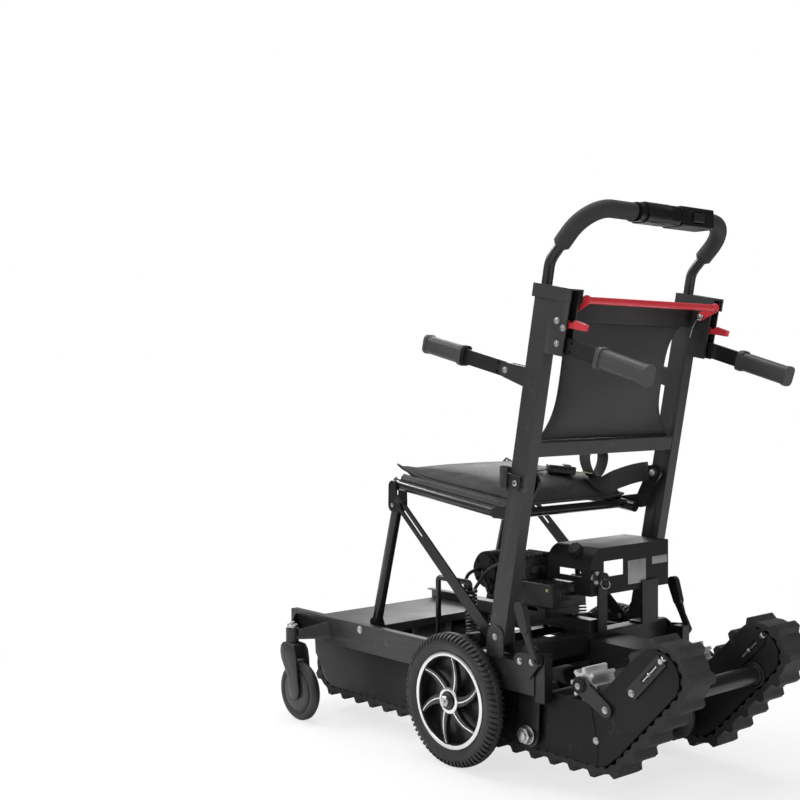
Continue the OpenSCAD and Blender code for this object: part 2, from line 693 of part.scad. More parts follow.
module knob() {
    color("#141516") knob_line() {
        translate([0, 0, housing_r - housing_t - gap]) cylinder(d = 8, h = housing_t + 2 * gap);
        translate([0, 0, housing_r + gap]) linear_extrude(14) {
            circle(11);
            for (a = [0 : 45 : 315]) rotate(a) translate([10, 0]) circle(3.5);
        }
    }
}

module chassis_bolts() {
    color("#b4b7ba") pair() {
        for (p = [kidney[0], kidney[1]]) pin(p, 9, rail_out + 5, rail_out + 8);
        pin([315, 205], 12, rail_out, rail_out + 4);
        pin([-295, 100], 11, track_out, track_out + 4);
        for (a = [124.5, 212]) {
            p = bend + a * [-cos(incline), sin(incline)] + 14 * unit(up_angle);
            pin(p, 9, track_out + 5, track_out + 8);
        }
        pin(bend + [-18, 60], 9, track_out + 6, track_out + 9);
        // Pin that the brace hooks over, and spacers between the track plates
        pin(brace_stop, brace_pin_d, brace_y - brace_t / 2 - 2, brace_lug_y);
        for (x = [-bend_x, -150, 20, 200, 380])
            pin([x, track_z], 18, track_in + plate_t, track_out - plate_t);
    }
}

// Wheel arms, springs, wheels and levers, drawn for the left side
module wheel_arm() {
    difference() {
        xz(arm_y0, arm_y1) {
            link(arm_pivot, axle, 22, 20);
            link(axle, horn, 16, 10.6);
            translate(horn) circle(11);
        }
        pin(arm_pivot, arm_pin + 2 * fit, arm_y0 - 1, arm_y1 + 1);
    }
    pin(axle, axle_d, arm_y1, wheel_face - 4);
    pin(axle, axle_d + 8, arm_y1, wheel_mid - wheel_w / 2 - gap);
    pin(horn, 10, strut_y + 9, arm_y0);
    // Eye and cup that the spring stands in
    xz(strut_y - 9, strut_y + 9) link(horn, horn + 3 * spring_axis / spring_span, 8, 8);
    along_spring() translate([0, 0, cap_lift]) cylinder(d = spring_d + 2, h = strut_cap);
}
module wheel_arm_left() { color("#1c1e20") left() wheel_arm(); }
module wheel_arm_right() { color("#1c1e20") right() wheel_arm(); }

spring_axis = [strut_top.x - horn.x, strut_top.y - horn.y];
spring_span = norm(spring_axis);
spring_r = (spring_d - spring_wire) / 2;
spring_lift = cap_lift + strut_cap + spring_wire / 2 + soft_gap;
spring_len = spring_span - 2 * spring_lift;
module along_spring() {
    translate([horn.x, strut_y, horn.y]) rotate([0, atan2(spring_axis.x, spring_axis.y), 0]) children();
}
function coil(i) = let (n = 8 * spring_turns, t = i / n)
    [spring_r * cos(360 * spring_turns * t), spring_r * sin(360 * spring_turns * t), spring_lift + spring_len * t];
spring_points = [for (i = [0 : 8 * spring_turns]) coil(i)];
spring_gap = min([for (i = [0 : 8 * spring_turns - 5], j = [i + 5 : min(i + 11, 8 * spring_turns)])
    norm(spring_points[i] - spring_points[j])]) - spring_wire;
module spring() { along_spring() sweep(spring_points, 6, spring_wire, spring_wire, [0, 0, 1]); }
module spring_left() { color("#0e0f10") left() spring(); }
module spring_right() { color("#0e0f10") right() spring(); }

module about_axle(p, y) { translate([p.x, y, p.y]) rotate([-90, 0, 0]) children(); }
module tyre() {
    w = wheel_w / 2;
    r0 = bead_d / 2;
    r1 = wheel_d / 2;
    about_axle(axle, wheel_mid) rotate_extrude($fn = 96) {
        polygon([[r0, -w + 7], [r0 + 6, -w + 3], [r0 + 14, -w], [r1 - 10, -w], [r1 - 2, -w + 8], [r1, -w + 13],
            [r1, -3], [r1 - 3, -2], [r1 - 3, 2], [r1, 3], [r1, w - 13], [r1 - 2, w - 8], [r1 - 10, w],
            [r0 + 14, w], [r0 + 6, w - 3], [r0, w - 7]]);
    }
}
module tyre_left() { color("#1a1b1c") left() tyre(); }
module tyre_right() { color("#1a1b1c") right() tyre(); }

rim_r = bead_d / 2 - 0.1;
hub_r = 24;
// A swept spoke: its middle line swings by sweep_a from the hub to the ring
function spoke_edge(half, sweep_a) = [for (t = [0 : 0.2 : 1]) let (r = hub_r - 4 + t * (rim_r - hub_r)) r
    * unit(sweep_a * t + half * (1.7 - t) * 180 / (PI * r))];
module rim() {
    outer = spoke_edge(-6, 26);
    inner = spoke_edge(6, 26);
    back = [for (i = [len(inner) - 1 : -1 : 0]) inner[i]];
    w = wheel_w / 2;
    difference() {
        about_axle(axle, wheel_mid) {
            rotate_extrude($fn = 96) polygon([[rim_r - 8, -w + 8], [rim_r, -w + 8], [rim_r, w - 8],
                [rim_r - 1, w - 4], [rim_r - 8, w - 4], [rim_r - 10, w - 8]]);
            translate([0, 0, w - 16]) linear_extrude(10)
                for (i = [0 : spoke_count - 1]) rotate(i * 360 / spoke_count) polygon(concat(outer, back));
            translate([0, 0, -w + 4]) cylinder(r = hub_r, h = wheel_w - 8);
            translate([0, 0, w - 4]) cylinder(d = axle_d + 12, h = 4);
        }
        pin(axle, axle_d + 2 * fit, wheel_mid - wheel_w, wheel_face - 4 + gap / 2);
    }
}
module rim_left() { color("#2d2f31") left() rim(); }
module rim_right() { color("#2d2f31") right() rim(); }

lever_t = 6;
lever_tip = [-156, 316];
module lever() {
    y0 = rail_out + 5 + gap;
    difference() {
        xz(y0, y0 + lever_t) {
            link(lever_pivot, [-178, 254], 7, 6);
            link([-178, 254], [-167, 280], 6, 9);
        }
        pin(lever_pivot, lever_pin + 2 * fit, y0 - 1, y0 + lever_t + 1);
    }
    xz(y0 - 3, y0 + lever_t + 3) link([-168, 280], lever_tip, 9, 11);
}
module lever_left() { color("#333538") left() lever(); }
module lever_right() { color("#333538") right() lever(); }

// Casters, drawn for the left side
fork_t = 5;
module caster_fork() {
    ax = [caster_x, caster_d / 2];
    half = caster_w / 2 + 1.5;
    crown = [caster_d + 3, bracket_z - 8 - gap];
    difference() {
        union() {
            for (y = [stem.y - half - fork_t, stem.y + half]) xz(y, y + fork_t) {
                link([stem.x - 2, crown[0] + 8], ax, 20, 20);
                translate([stem.x - 22, crown[0]]) square([40, crown[1] - crown[0]]);
            }
            box([stem.x - 22, stem.y - half, crown[0]], [stem.x + 18, stem.y + half, crown[1]]);
        }
        pin(ax, 16, stem.y + half + fork_t - 2, stem.y + half + fork_t + 1);
    }
    pin(ax, caster_axle, stem.y - half, stem.y + half);
    translate([stem.x, stem.y, crown[1]]) cylinder(d = stem_d, h = bracket_z + 22 - crown[1] + gap);
    translate([stem.x, stem.y, bracket_z + 22 + gap]) cylinder(d = stem_d + 6, h = 7, $fn = 6);
}
module caster_fork_left() { color("#232426") left() caster_fork(); }
module caster_fork_right() { color("#232426") right() caster_fork(); }

module caster_wheel() {
    r = caster_d / 2;
    w = caster_w / 2;
    about_axle([caster_x, r], stem.y) rotate_extrude($fn = 72) polygon([[caster_axle / 2 + fit, -w], [18, -w],
        [20, -w + 4], [r - 16, -w + 4], [r - 13, -w + 1], [r - 5, -w + 2], [r, -w + 8], [r, w - 8], [r - 5, w - 2],
        [r - 13, w - 1], [r - 16, w - 4], [20, w - 4], [18, w], [caster_axle / 2 + fit, w]]);
}
module caster_wheel_left() { color("#28292b") left() caster_wheel(); }
module caster_wheel_right() { color("#28292b") right() caster_wheel(); }

tail_axle_d = 14;
module tail_wheels() {
    half = 15;
    color("#191a1b") {
        for (y = [-72, 72]) about_axle(tail_wheel_at, y) rotate_extrude($fn = 60)
            polygon([[0, -half], [24, -half], [26, -half + 3], [tail_wheel_r - 12, -half], [tail_wheel_r - 4, -half + 4],
                [tail_wheel_r, -4], [tail_wheel_r, 4], [tail_wheel_r - 4, half - 4], [tail_wheel_r - 12, half],
                [26, half - 3], [24, half], [0, half]]);
        pin(tail_wheel_at, tail_axle_d, -track_in + gap, track_in - gap);
    }
}

// Backrest, in the frame of the leaning posts: X forward of the post's middle, Z along it from the pivot
module backrest_posts() {
    color("#2f3134") pair() on_post() difference() {
        union() {
            xz(post_in, post_out) {
                circle(post_d / 2);
                translate([-post_d / 2, 0]) square([post_d, post_len]);
            }
            pin([0, seat_rise], seat_pin, plate_y0 - gap - 4, post_in);
            pin([0, seat_rise], seat_pin + 6, plate_y1 + gap, post_in);
            pin([0, seat_rise], seat_pin + 6, plate_y0 - gap - 4, plate_y0 - gap);
            pin([0, seat_rise], seat_pin + 8, post_out, post_out + 4);
            // Armrest ears
            for (y = [post_y - bar_t / 2 - gap - 5, post_y + bar_t / 2 + gap])
                xz(y, y + 5) link([post_d / 2 - 4, armrest_hinge.y - 4], armrest_hinge, 18, 14);
            pin(armrest_hinge, handle_pin, post_y - bar_t / 2 - gap - 5, post_y + bar_t / 2 + gap + 5);
        }
        pin([0, 0], pivot_pin + 2 * fit, post_in - 1, post_out + 1);
        box([-post_d / 2 + post_wall, post_in + post_wall, seat_rise + 30],
            [post_d / 2 - post_wall, post_out - post_wall, post_len + 1]);
    }
}
module backrest_crossbars() {
    color("#1f2123") on_post() {
        box([-post_d / 2, -post_in, low_bar_s - bar_h / 2], [post_d / 2 - 12, post_in, low_bar_s + bar_h / 2]);
        box([-post_d / 2 + 4, -post_in, top_bar_s - 12], [post_d / 2 - 14, post_in, top_bar_s + 12]);
    }
}

bracket_rear = -62;
bracket_len = 115;
cheek_t = 3;
cheek = post_w / 2 - cheek_t;
cap_h = 24;
// Rear brackets hold the carry handles, and a cap closes each bracket and post
module handle_bracket() {
    ear = bar_t / 2 + gap;
    difference() {
        union() {
            for (y = [post_y - cheek - cheek_t, post_y + cheek])
                xz(y, y + cheek_t) translate([bracket_rear, post_len - bracket_len])
                    square([-post_d / 2 - bracket_rear, bracket_len]);
            box([-post_d / 2 - 5, post_y - cheek, post_len - 45], [-post_d / 2, post_y + cheek, post_len]);
            for (p = [carry_hinge, latch_hinge]) {
                pin(p, handle_pin, post_y - cheek, post_y + cheek);
                for (y = [post_y - cheek, post_y + ear]) pin(p, 14, y, y + cheek - ear);
            }
            box([bracket_rear - 4, post_in - 4, post_len], [post_d / 2 + 4, post_out + 4, post_len + 3]);
            for (y = [post_in - 4, post_out])
                box([bracket_rear - 4, y, post_len - cap_h + 3], [post_d / 2 + 4, y + 4, post_len]);
            box([post_d / 2, post_in - 4, post_len - cap_h + 3], [post_d / 2 + 4, post_out + 4, post_len]);
        }
        at([handle_h, post_y, post_len - 1]) cylinder(d = tube_d + 2 * fit, h = 6);
    }
    // Pivot stub of the release bar
    pin(release_hinge, 6, post_in - 9, post_in);
}
module handle_brackets() { color("#26282a") pair() on_post() handle_bracket(); }

// Sling: a stretched sheet, drawn in at its waist, bulging back and curling forward at its edges
sling_m = 19;
sling_n = 25;
sling_t = 2.5;
sling_low = low_bar_s + bar_h / 2 + soft_gap;
sling_high = top_bar_s - 12 - soft_gap;
function sling_point(i, j, off) = let (v = i / (sling_m - 1), u = 2 * j / (sling_n - 1) - 1,
    half = post_in - 3 - 16 * sin(180 * v), belly = sin(180 * v) * (1 - u * u))
    [-6 + off - 26 * belly + 16 * pow(abs(u), 6) * sin(180 * v), half * u, sling_low + v * (sling_high - sling_low)];
module backrest_sling() {
    upper = [for (i = [0 : sling_m - 1], j = [0 : sling_n - 1]) sling_point(i, j, 0)];
    lower = [for (i = [0 : sling_m - 1], j = [0 : sling_n - 1]) sling_point(i, j, -sling_t)];
    color("#1c1d1f") on_post() pad(upper, lower, sling_m, sling_n);
}

module back_bolts() {
    y = post_y + bar_t / 2 + gap + 5;
    color("#b4b7ba") pair() on_post() {
        for (p = [carry_hinge, [-40, post_len - 55.5], [-56, post_len - 66.3]]) pin(p, 9, post_out, post_out + 3);
        pin(armrest_hinge, 9, y, y + 3);
    }
}

module latch() {
    half = bar_t / 2;
    difference() {
        xz(post_y - half, post_y + half) {
            translate(latch_hinge) circle(8);
            translate(latch_hinge + [-48, -5]) square([48, 10]);
            translate(latch_hinge + [-48, -1]) rotate(8) square([28, 7]);
        }
        pin(latch_hinge, handle_pin + 2 * fit, post_y - half - 1, post_y + half + 1);
    }
}
module latch_left() { color("#c01f2e") left() on_post() latch(); }
module latch_right() { color("#c01f2e") right() on_post() latch(); }

// A carry handle hinges on its bracket; its own frame has X along the handle
module along_handle(hinge, angle) {
    on_post() translate([hinge.x, 0, hinge.y]) rotate([0, lean, 0]) rotate([0, angle, 0]) children();
}
module handle_bar(len) {
    difference() {
        xz(post_y - bar_t / 2, post_y + bar_t / 2) {
            circle(14);
            translate([0, -14]) square([len, 28]);
            translate([len, -8]) square([grip_len - 12, 16]);
        }
        pin([0, 0], handle_pin + 2 * fit, post_y - bar_t, post_y + bar_t);
        for (z = [-8, 8]) pin([26, z], 5, post_y - bar_t, post_y + bar_t);
    }
}
module handle_grip(len) {
    translate([len, post_y, 0]) difference() {
        union() {
            yz(0, grip_len) round_box(grip_w, grip_h, 9);
            yz(0, 10) round_box(grip_w + 5, grip_h + 5, 10);
            yz(grip_len - 8, grip_len) round_box(grip_w + 3, grip_h + 3, 10);
        }
        box([-1, -bar_t / 2 - fit, -8 - fit], [grip_len - 12 + fit, bar_t / 2 + fit, 8 + fit]);
    }
}
module carry_frame() { along_handle(carry_hinge, 180 - carry_droop) children(); }
module armrest_frame() { along_handle(armrest_hinge, -armrest_rise) children(); }
module carry_bar_left() { color("#141517") left() carry_frame() handle_bar(carry_len); }
module carry_bar_right() { color("#141517") right() carry_frame() handle_bar(carry_len); }
module carry_grip_left() { color("#3a3c3f") left() carry_frame() handle_grip(carry_len); }
module carry_grip_right() { color("#3a3c3f") right() carry_frame() handle_grip(carry_len); }
module armrest_bar_left() { color("#141517") left() armrest_frame() handle_bar(armrest_len); }
module armrest_bar_right() { color("#141517") right() armrest_frame() handle_bar(armrest_len); }
module armrest_grip_left() { color("#3a3c3f") left() armrest_frame() handle_grip(armrest_len); }
module armrest_grip_right() { color("#3a3c3f") right() armrest_frame() handle_grip(armrest_len); }

module release_bar() {
    y1 = post_in - 4 - gap;
    color("#c8323e") on_post() {
        pin(release_bar_at, 13, -y1, y1);
        pair() difference() {
            xz(y1 - 4, y1) link(release_hinge, release_bar_at, 8, 9);
            pin(release_hinge, 6 + 2 * fit, y1 - 5, y1 + 1);
        }
    }
}

// Push handle: a bent tube that telescopes in the posts, with foam over its bends and a control unit
post_dir = [-sin(lean), 0, cos(lean)];
post_foot = [pivot.x + handle_h * cos(lean), post_y, pivot.y + handle_h * sin(lean)];
handle_low = post_foot + (post_len - 213) * post_dir;
handle_knee = post_foot + handle_s * post_dir;
handle_x = handle_back - handle_knee.x;
handle_z = handle_knee.z + handle_lift;
handle_corner = [-handle_x, post_y, handle_z];
function flip(p) = [p.x, -p.y, p.z];
handle_path = [handle_low, handle_knee, handle_corner, flip(handle_corner), flip(handle_knee), flip(handle_low)];
control_y = [-121, 82];
// Square to the handle's loop above the knee, to line up the pipe's sides
handle_up = [handle_z - handle_knee.z, 0, handle_x + handle_knee.x];
module handle_tube() {
    color("#2c2e31") pipe(bent_path(handle_path, [0, 40, handle_bend, handle_bend, 40, 0]), tube_d, 0, handle_up);
}
module handle_foam() {
    start = handle_knee + 34 * dir(handle_knee, handle_corner);
    left_end = [-handle_x, control_y[1] + soft_gap, handle_z];
    right_end = [-handle_x, control_y[0] - soft_gap, handle_z];
    color("#232528") {
        pipe(bent_path([start, handle_corner, left_end], [0, handle_bend, 0]), foam_d, tube_d + 2 * fit, handle_up);
        pipe(bent_path([flip(start), flip(handle_corner), right_end], [0, handle_bend, 0]), foam_d,
            tube_d + 2 * fit, handle_up);
    }
}
module control_unit() {
    color("#1a1b1d") translate([-handle_x, 0, handle_z]) difference() {
        union() {
            xz(control_y[0], -28) round_box(46, 37, 4);
            xz(-28, 2) round_box(44, 35, 9);
            xz(2, 66) round_box(46, 37, 13);
            xz(66, control_y[1]) round_box(40, 34, 14);
        }
        pin([0, 0], tube_d + 2 * fit, control_y[0] - 1, control_y[1] + 1);
        box([-30, rocker_y - 15 - gap, -11], [rocker_x + 4, rocker_y + 15 + gap, 11]);
    }
}
rocker_x = -17;
module drive_rocker() {
    color("#404246") translate([-handle_x, 0, handle_z]) {
        xz(rocker_y - 15, rocker_y + 15) translate([rocker_x - 5, 0]) round_box(8, 18, 3);
        pin([rocker_x, 0], 5, rocker_y - 15, rocker_y + 15);
    }
}

// Seat: a looped tube frame with pivot plates at the back and knee brackets at the front
module seat_frame() {
    loop = [[seat_rear_x - 16, seat_y, tube_z(seat_rear_x - 16)], [seat_front_x, seat_y, tube_z(seat_front_x)],
        [seat_front_x, -seat_y, tube_z(seat_front_x)], [seat_rear_x - 16, -seat_y, tube_z(seat_rear_x - 16)]];
    elbow = seat_pivot + [32, -57.8];
    color("#232527") {
        pipe(bent_path(loop, [0, 45, 45, 0]), seat_d, 0, [-sin(seat_tilt), 0, cos(seat_tilt)]);
        pin([seat_rear_x + 20, tube_z(seat_rear_x + 20)], 18, -seat_y, seat_y);
        pair() difference() {
            union() {
                xz(plate_y0, plate_y1) {
                    link([seat_rear_x + 40, tube_z(seat_rear_x + 40)], elbow, 10, 14);
                    link(elbow, seat_pivot, 14, 16);
                    link(seat_pivot, [-114, seat_pivot.y], 15, 12);
                }
                // Knee bracket: two plates under the tube, with the leg pin between them
                for (y = [seat_y - leg_d / 2 - gap - knee_t, seat_y + leg_d / 2 + gap]) xz(y, y + knee_t) {
                    link([knee.x, tube_z(knee.x) - 4], knee, 12, 13);
                    if (y > seat_y) link(knee, brace_pin, 13, 12);
                }
                box([knee.x - 9, seat_y - leg_d / 2 - gap, tube_z(knee.x) - 12],
                    [knee.x + 9, seat_y + leg_d / 2 + gap, tube_z(knee.x) - 4]);
                pin(knee, leg_pin, seat_y - leg_d / 2 - gap - knee_t, seat_y + leg_d / 2 + gap + knee_t);
                pin(brace_pin, brace_pin_d, seat_y + leg_d / 2 + gap + knee_t, brace_y + brace_t / 2 + 4);
            }
            pin(seat_pivot, seat_pin + 2 * fit, plate_y0 - 2, plate_y1 + 2);
        }
    }
}

// Cushion: a wedge with a crowned top and sides drawn in between its corners
cushion_m = 21;
cushion_n = 21;
function cushion_xy(i, j) = let (u = 2 * i / (cushion_m - 1) - 1, v = 2 * j / (cushion_n - 1) - 1)
    [(cushion_rear + cushion_front) / 2 + (cushion_front - cushion_rear) / 2 * (u - 0.02 * u * (1 - v * v)),
        (cushion_half - 5 * (1 - u * u)) * v, u, v];
function cushion_rise(u, v) = let (edge = (1 - pow(abs(u), 6)) * (1 - pow(abs(v), 6)))
    6 + (30 - 12 * u) * pow(edge, 0.6) + 6 * (1 - u * u) * (1 - v * v);
function limit(t) = max(-1, min(1, t));
function cushion_top(x, y) = let (u = (2 * x - cushion_rear - cushion_front) / (cushion_front - cushion_rear))
    cushion_floor(x) + cushion_rise(limit(u), limit(y / cushion_half));
module seat_cushion() {
    grid = [for (i = [0 : cushion_m - 1], j = [0 : cushion_n - 1]) cushion_xy(i, j)];
    upper = [for (g = grid) [g[0], g[1], cushion_floor(g[0]) + cushion_rise(g[2], g[3])]];
    lower = [for (g = grid) [g[0], g[1], cushion_floor(g[0])]];
    color("#3b3d41") pad([for (p = upper) p], [for (p = lower) p], cushion_m, cushion_n);
}

// Lap belt: flat webbing from both seat pivots, laid over the cushion, the far half standing in a loose loop
belt_webbing = [32, 2.4];
belt_y = plate_y0 - soft_gap - belt_webbing.y / 2;
belt_near = [[-118, belt_y, seat_pivot.y + 1], [-98, belt_y - 2, seat_pivot.y - 6], [-66, 140, 8], [-40, 110, 4],
    [-24, 76, 3], [-14, 44, 3]];
belt_far = [[-118, -belt_y, seat_pivot.y + 1], [-98, 2 - belt_y, seat_pivot.y - 3], [-60, -150, 24],
    [-22, -120, 46], [-2, -84, 40], [8, -52, 18], [6, -22, 4], [0, 10, 3]];
// Side the webbing faces at each point: flat on the pivot plate, then twisting to lie on the cushion
function belt_up(i, side) = i < 2 ? [0, -side, 0] : i == 2 ? [0, -0.6 * side, 0.8] : [-sin(seat_tilt), 0, cos(seat_tilt)];
// A route point's height is over the highest cushion near it
function laid(p) = p.z > 300 ? p : [p.x, p.y, p.z
    + max([for (i = [-22, 0, 22], j = [-22, 0, 22]) cushion_top(p.x + i, p.y + j)])];
module seat_belt() {
    color("#18191a") {
        for (r = [belt_near, belt_far])
            sweep([for (p = r) laid(p)], 4, belt_webbing.x * sqrt(2), belt_webbing.y * sqrt(2),
                [for (i = [0 : len(r) - 1]) belt_up(i, sign(r[0].y))]);
    }
}

// Front legs: a tube with an eye at the knee and an offset lug at the foot
module front_leg() {
    heel = foot + leg_splay;
    shaft = [dir3(knee), dir3(heel)];
    difference() {
        union() {
            rod(shaft[0], shaft[1], leg_d);
            pin(knee, leg_d, seat_y - leg_d / 2, seat_y + leg_d / 2);
            xz(seat_y - 10, seat_y + 10) link(heel, foot, leg_d / 2, leg_d / 2);
        }
        for (p = [knee, foot]) pin(p, leg_pin + 2 * fit, seat_y - leg_d, seat_y + leg_d);
    }
}
function dir3(p) = [p.x, seat_y, p.y];
module front_legs() { color("#2a2c2e") pair() front_leg(); }

// Braces: flat bars with a long slot at the top and an open hook at the bottom
module brace() {
    along = (brace_stop - brace_pin) / norm(brace_stop - brace_pin);
    difference() {
        xz(brace_y - brace_t / 2, brace_y + brace_t / 2) difference() {
            link(brace_pin - 14 * along, brace_stop + 4 * along, brace_w / 2, brace_w / 2);
            link(brace_stop, brace_stop + 40 * along, brace_pin_d / 2 + gap, brace_pin_d / 2 + gap);
        }
        pin(brace_pin, brace_pin_d + 2 * fit, brace_y - brace_t, brace_y + brace_t);
        xz(brace_y - brace_t, brace_y + brace_t) link(brace_pin + 8 * along, brace_pin + brace_slot * along, 3, 3);
    }
}
module braces() { color("#303236") pair() brace(); }

echo(least_gap_in_a_spring = spring_gap);

placed() side_rails();
placed() footplate();
placed() cross_members();
placed() hanger_plates();
placed() track_frames();
placed() track_belts();
placed() brackets();
placed() drive_unit();
placed() battery();
placed() controller_box();
placed() motor_unit();
placed() housing();
placed() key_switch();
placed() motor_cables();
placed() chassis_bolts();
placed() wheel_arm_left();
placed() wheel_arm_right();
placed() tyre_left();
placed() tyre_right();
placed() rim_left();
placed() rim_right();
placed() lever_left();
placed() lever_right();
placed() spring_left();
placed() spring_right();
placed() caster_fork_left();
placed() caster_fork_right();
placed() caster_wheel_left();
placed() caster_wheel_right();
placed() drive_axle();
placed() front_idlers();
placed() tail_idlers();
placed() tail_wheels();
placed() backrest_posts();
placed() backrest_crossbars();
placed() handle_brackets();
placed() backrest_sling();
placed() back_bolts();
placed() latch_left();
placed() latch_right();
placed() carry_bar_left();
placed() carry_bar_right();
placed() carry_grip_left();
placed() carry_grip_right();
placed() armrest_bar_left();
placed() armrest_bar_right();
placed() armrest_grip_left();
placed() armrest_grip_right();
placed() release_bar();
placed() handle_tube();
placed() handle_foam();
placed() control_unit();
placed() drive_rocker();
placed() seat_frame();
placed() seat_cushion();
placed() seat_belt();
placed() front_legs();
placed() braces();
placed() key();
placed() knob();

module placed() { translate([-origin_x, 0, 0]) children(); }
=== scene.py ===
# A powered stair climbing wheelchair: black powder coated frame, rubber crawler tracks, padded seat,
# stretched back sling and foam push handle. X points forward, Y to the sitter's left, Z up, in metres.
import json
import math

import bmesh
import bpy
from mathutils import Matrix, Vector
from mathutils.bvhtree import BVHTree


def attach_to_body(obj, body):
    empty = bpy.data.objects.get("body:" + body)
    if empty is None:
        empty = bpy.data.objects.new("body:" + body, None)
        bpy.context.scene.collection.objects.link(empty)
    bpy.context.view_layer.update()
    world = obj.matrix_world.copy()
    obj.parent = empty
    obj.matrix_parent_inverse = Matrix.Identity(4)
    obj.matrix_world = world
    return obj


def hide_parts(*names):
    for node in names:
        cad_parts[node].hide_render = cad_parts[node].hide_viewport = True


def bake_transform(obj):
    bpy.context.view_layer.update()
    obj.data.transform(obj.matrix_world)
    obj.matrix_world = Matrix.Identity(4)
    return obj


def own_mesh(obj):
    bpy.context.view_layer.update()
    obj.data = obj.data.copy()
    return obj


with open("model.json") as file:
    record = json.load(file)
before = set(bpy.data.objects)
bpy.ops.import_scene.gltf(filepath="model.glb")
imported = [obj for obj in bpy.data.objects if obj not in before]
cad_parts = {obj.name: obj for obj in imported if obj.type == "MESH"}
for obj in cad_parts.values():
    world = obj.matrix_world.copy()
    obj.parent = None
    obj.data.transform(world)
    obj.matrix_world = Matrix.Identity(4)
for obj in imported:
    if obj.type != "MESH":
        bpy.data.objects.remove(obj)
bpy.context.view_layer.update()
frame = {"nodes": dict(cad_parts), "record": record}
scene = bpy.context.scene
scene.view_settings.view_transform = "Standard"

# Studio: a white floor that runs to a white horizon, a broad softbox on the chair's left and one above it.
# A strip and a rim lamp in front draw bright lines on tubes and edges. The camera stands behind the chair's
# left side, where the room is dim and a small fill is all that reaches the rear faces.
ORIGIN_X = 0.0353272
SIDES = (("left", 1), ("right", -1))
FORWARD = Vector((1, 0, 0))
UP = Vector((0, 0, 1))


def place(x, y, z):
    """A point given in millimetres from the rear axle line and the floor, in the row frame."""
    return Vector((x / 1000 - ORIGIN_X, y / 1000, z / 1000))


def linked(name, data):
    """A new object of the scene that holds the data."""
    ob = bpy.data.objects.new(name, data)
    scene.collection.objects.link(ob)
    return ob


def tuned(thing, **settings):
    """A lamp, node or modifier with its settings made."""
    for key, value in settings.items():
        setattr(thing, key, value)
    return thing


def add_node(tree, kind, values=None, **settings):
    """A new node of a tree, with its settings and then its input values."""
    made = tuned(tree.nodes.new(kind), **settings)
    for label, value in (values or {}).items():
        made.inputs[label].default_value = value
    return made


def join(tree, *links):
    """Links sockets, each link given as a node, its output, the next node and that one's input."""
    for source, output, target, entry in links:
        tree.links.new(source.outputs[output], target.inputs[entry])


camera = linked("camera", tuned(bpy.data.cameras.new("camera"), lens=55.55, sensor_width=36.0, clip_end=60.0))
yaw, pitch, roll = (math.radians(turn) for turn in (-40.32, -0.77, -0.18))
sight = Vector((math.cos(pitch) * math.cos(yaw), math.cos(pitch) * math.sin(yaw), math.sin(pitch)))
across = sight.cross(UP).normalized()
upward = across.cross(sight)
level = math.cos(roll) * across + math.sin(roll) * upward
upright = -math.sin(roll) * across + math.cos(roll) * upward
camera.matrix_world = Matrix.Translation(place(-1693.5, 1806, 717.1)) @ Matrix(
    (level, upright, -sight)).transposed().to_4x4()
scene.camera = camera

floor_mesh = bpy.data.meshes.new("floor")
floor_mesh.from_pydata([(-40, -40, 0), (40, -40, 0), (40, 40, 0), (-40, 40, 0)], [], [(0, 1, 2, 3)])
floor = linked("floor", floor_mesh)
floor_paint = bpy.data.materials.new("white_floor")
floor_paint.use_nodes = True
tree = floor_paint.node_tree
tree.nodes.clear()
floor_out = add_node(tree, "ShaderNodeOutputMaterial")
floor_mix = add_node(tree, "ShaderNodeMixShader")
floor_glow = add_node(tree, "ShaderNodeEmission")
floor_matte = add_node(tree, "ShaderNodeBsdfDiffuse", {"Color": (0.92, 0.92, 0.92, 1)})
floor_path = add_node(tree, "ShaderNodeLightPath")
floor_place = add_node(tree, "ShaderNodeTexCoord")
floor_reach = add_node(tree, "ShaderNodeVectorMath", operation="LENGTH")
floor_fade = add_node(tree, "ShaderNodeMapRange", {"From Min": 0.5, "From Max": 1.5, "To Min": 0.72,
                                                   "To Max": 1.0}, interpolation_type="SMOOTHSTEP")
floor_share = add_node(tree, "ShaderNodeMath", operation="MULTIPLY")
join(tree, (floor_place, "Object", floor_reach, 0), (floor_reach, "Value", floor_fade, "Value"),
     (floor_path, "Is Camera Ray", floor_share, 0), (floor_fade, 0, floor_share, 1),
     (floor_share, 0, floor_mix, 0), (floor_matte, 0, floor_mix, 1), (floor_glow, 0, floor_mix, 2),
     (floor_mix, 0, floor_out, 0))
floor_mesh.materials.append(floor_paint)

world = bpy.data.worlds.new("studio")
world.use_nodes = True
scene.world = world
tree = world.node_tree
tree.nodes.clear()
sky_out = add_node(tree, "ShaderNodeOutputWorld")
sky = add_node(tree, "ShaderNodeBackground", {"Color": (1, 1, 1, 1)})
sky_path = add_node(tree, "ShaderNodeLightPath")
sky_side = add_node(tree, "ShaderNodeTexCoord")
sky_axis = add_node(tree, "ShaderNodeSeparateXYZ")
sky_level = add_node(tree, "ShaderNodeMapRange",
                     {"From Min": -0.75, "From Max": 0.55, "To Min": 0.04, "To Max": 0.3})
sky_seen = add_node(tree, "ShaderNodeMath", operation="MAXIMUM")
join(tree, (sky_side, "Generated", sky_axis, 0), (sky_axis, "X", sky_level, "Value"),
     (sky_level, 0, sky_seen, 0), (sky_path, "Is Camera Ray", sky_seen, 1), (sky_seen, 0, sky, "Strength"),
     (sky, 0, sky_out, 0))


def lamp(name, where, aim, size, watts):
    data = bpy.data.lights.new(name, "AREA")
    ob = linked(name, tuned(data, shape="RECTANGLE", size=size[0], size_y=size[1], energy=watts))
    ob.location = where
    ob.rotation_euler = (Vector(aim) - Vector(where)).to_track_quat("-Z", "Y").to_euler()


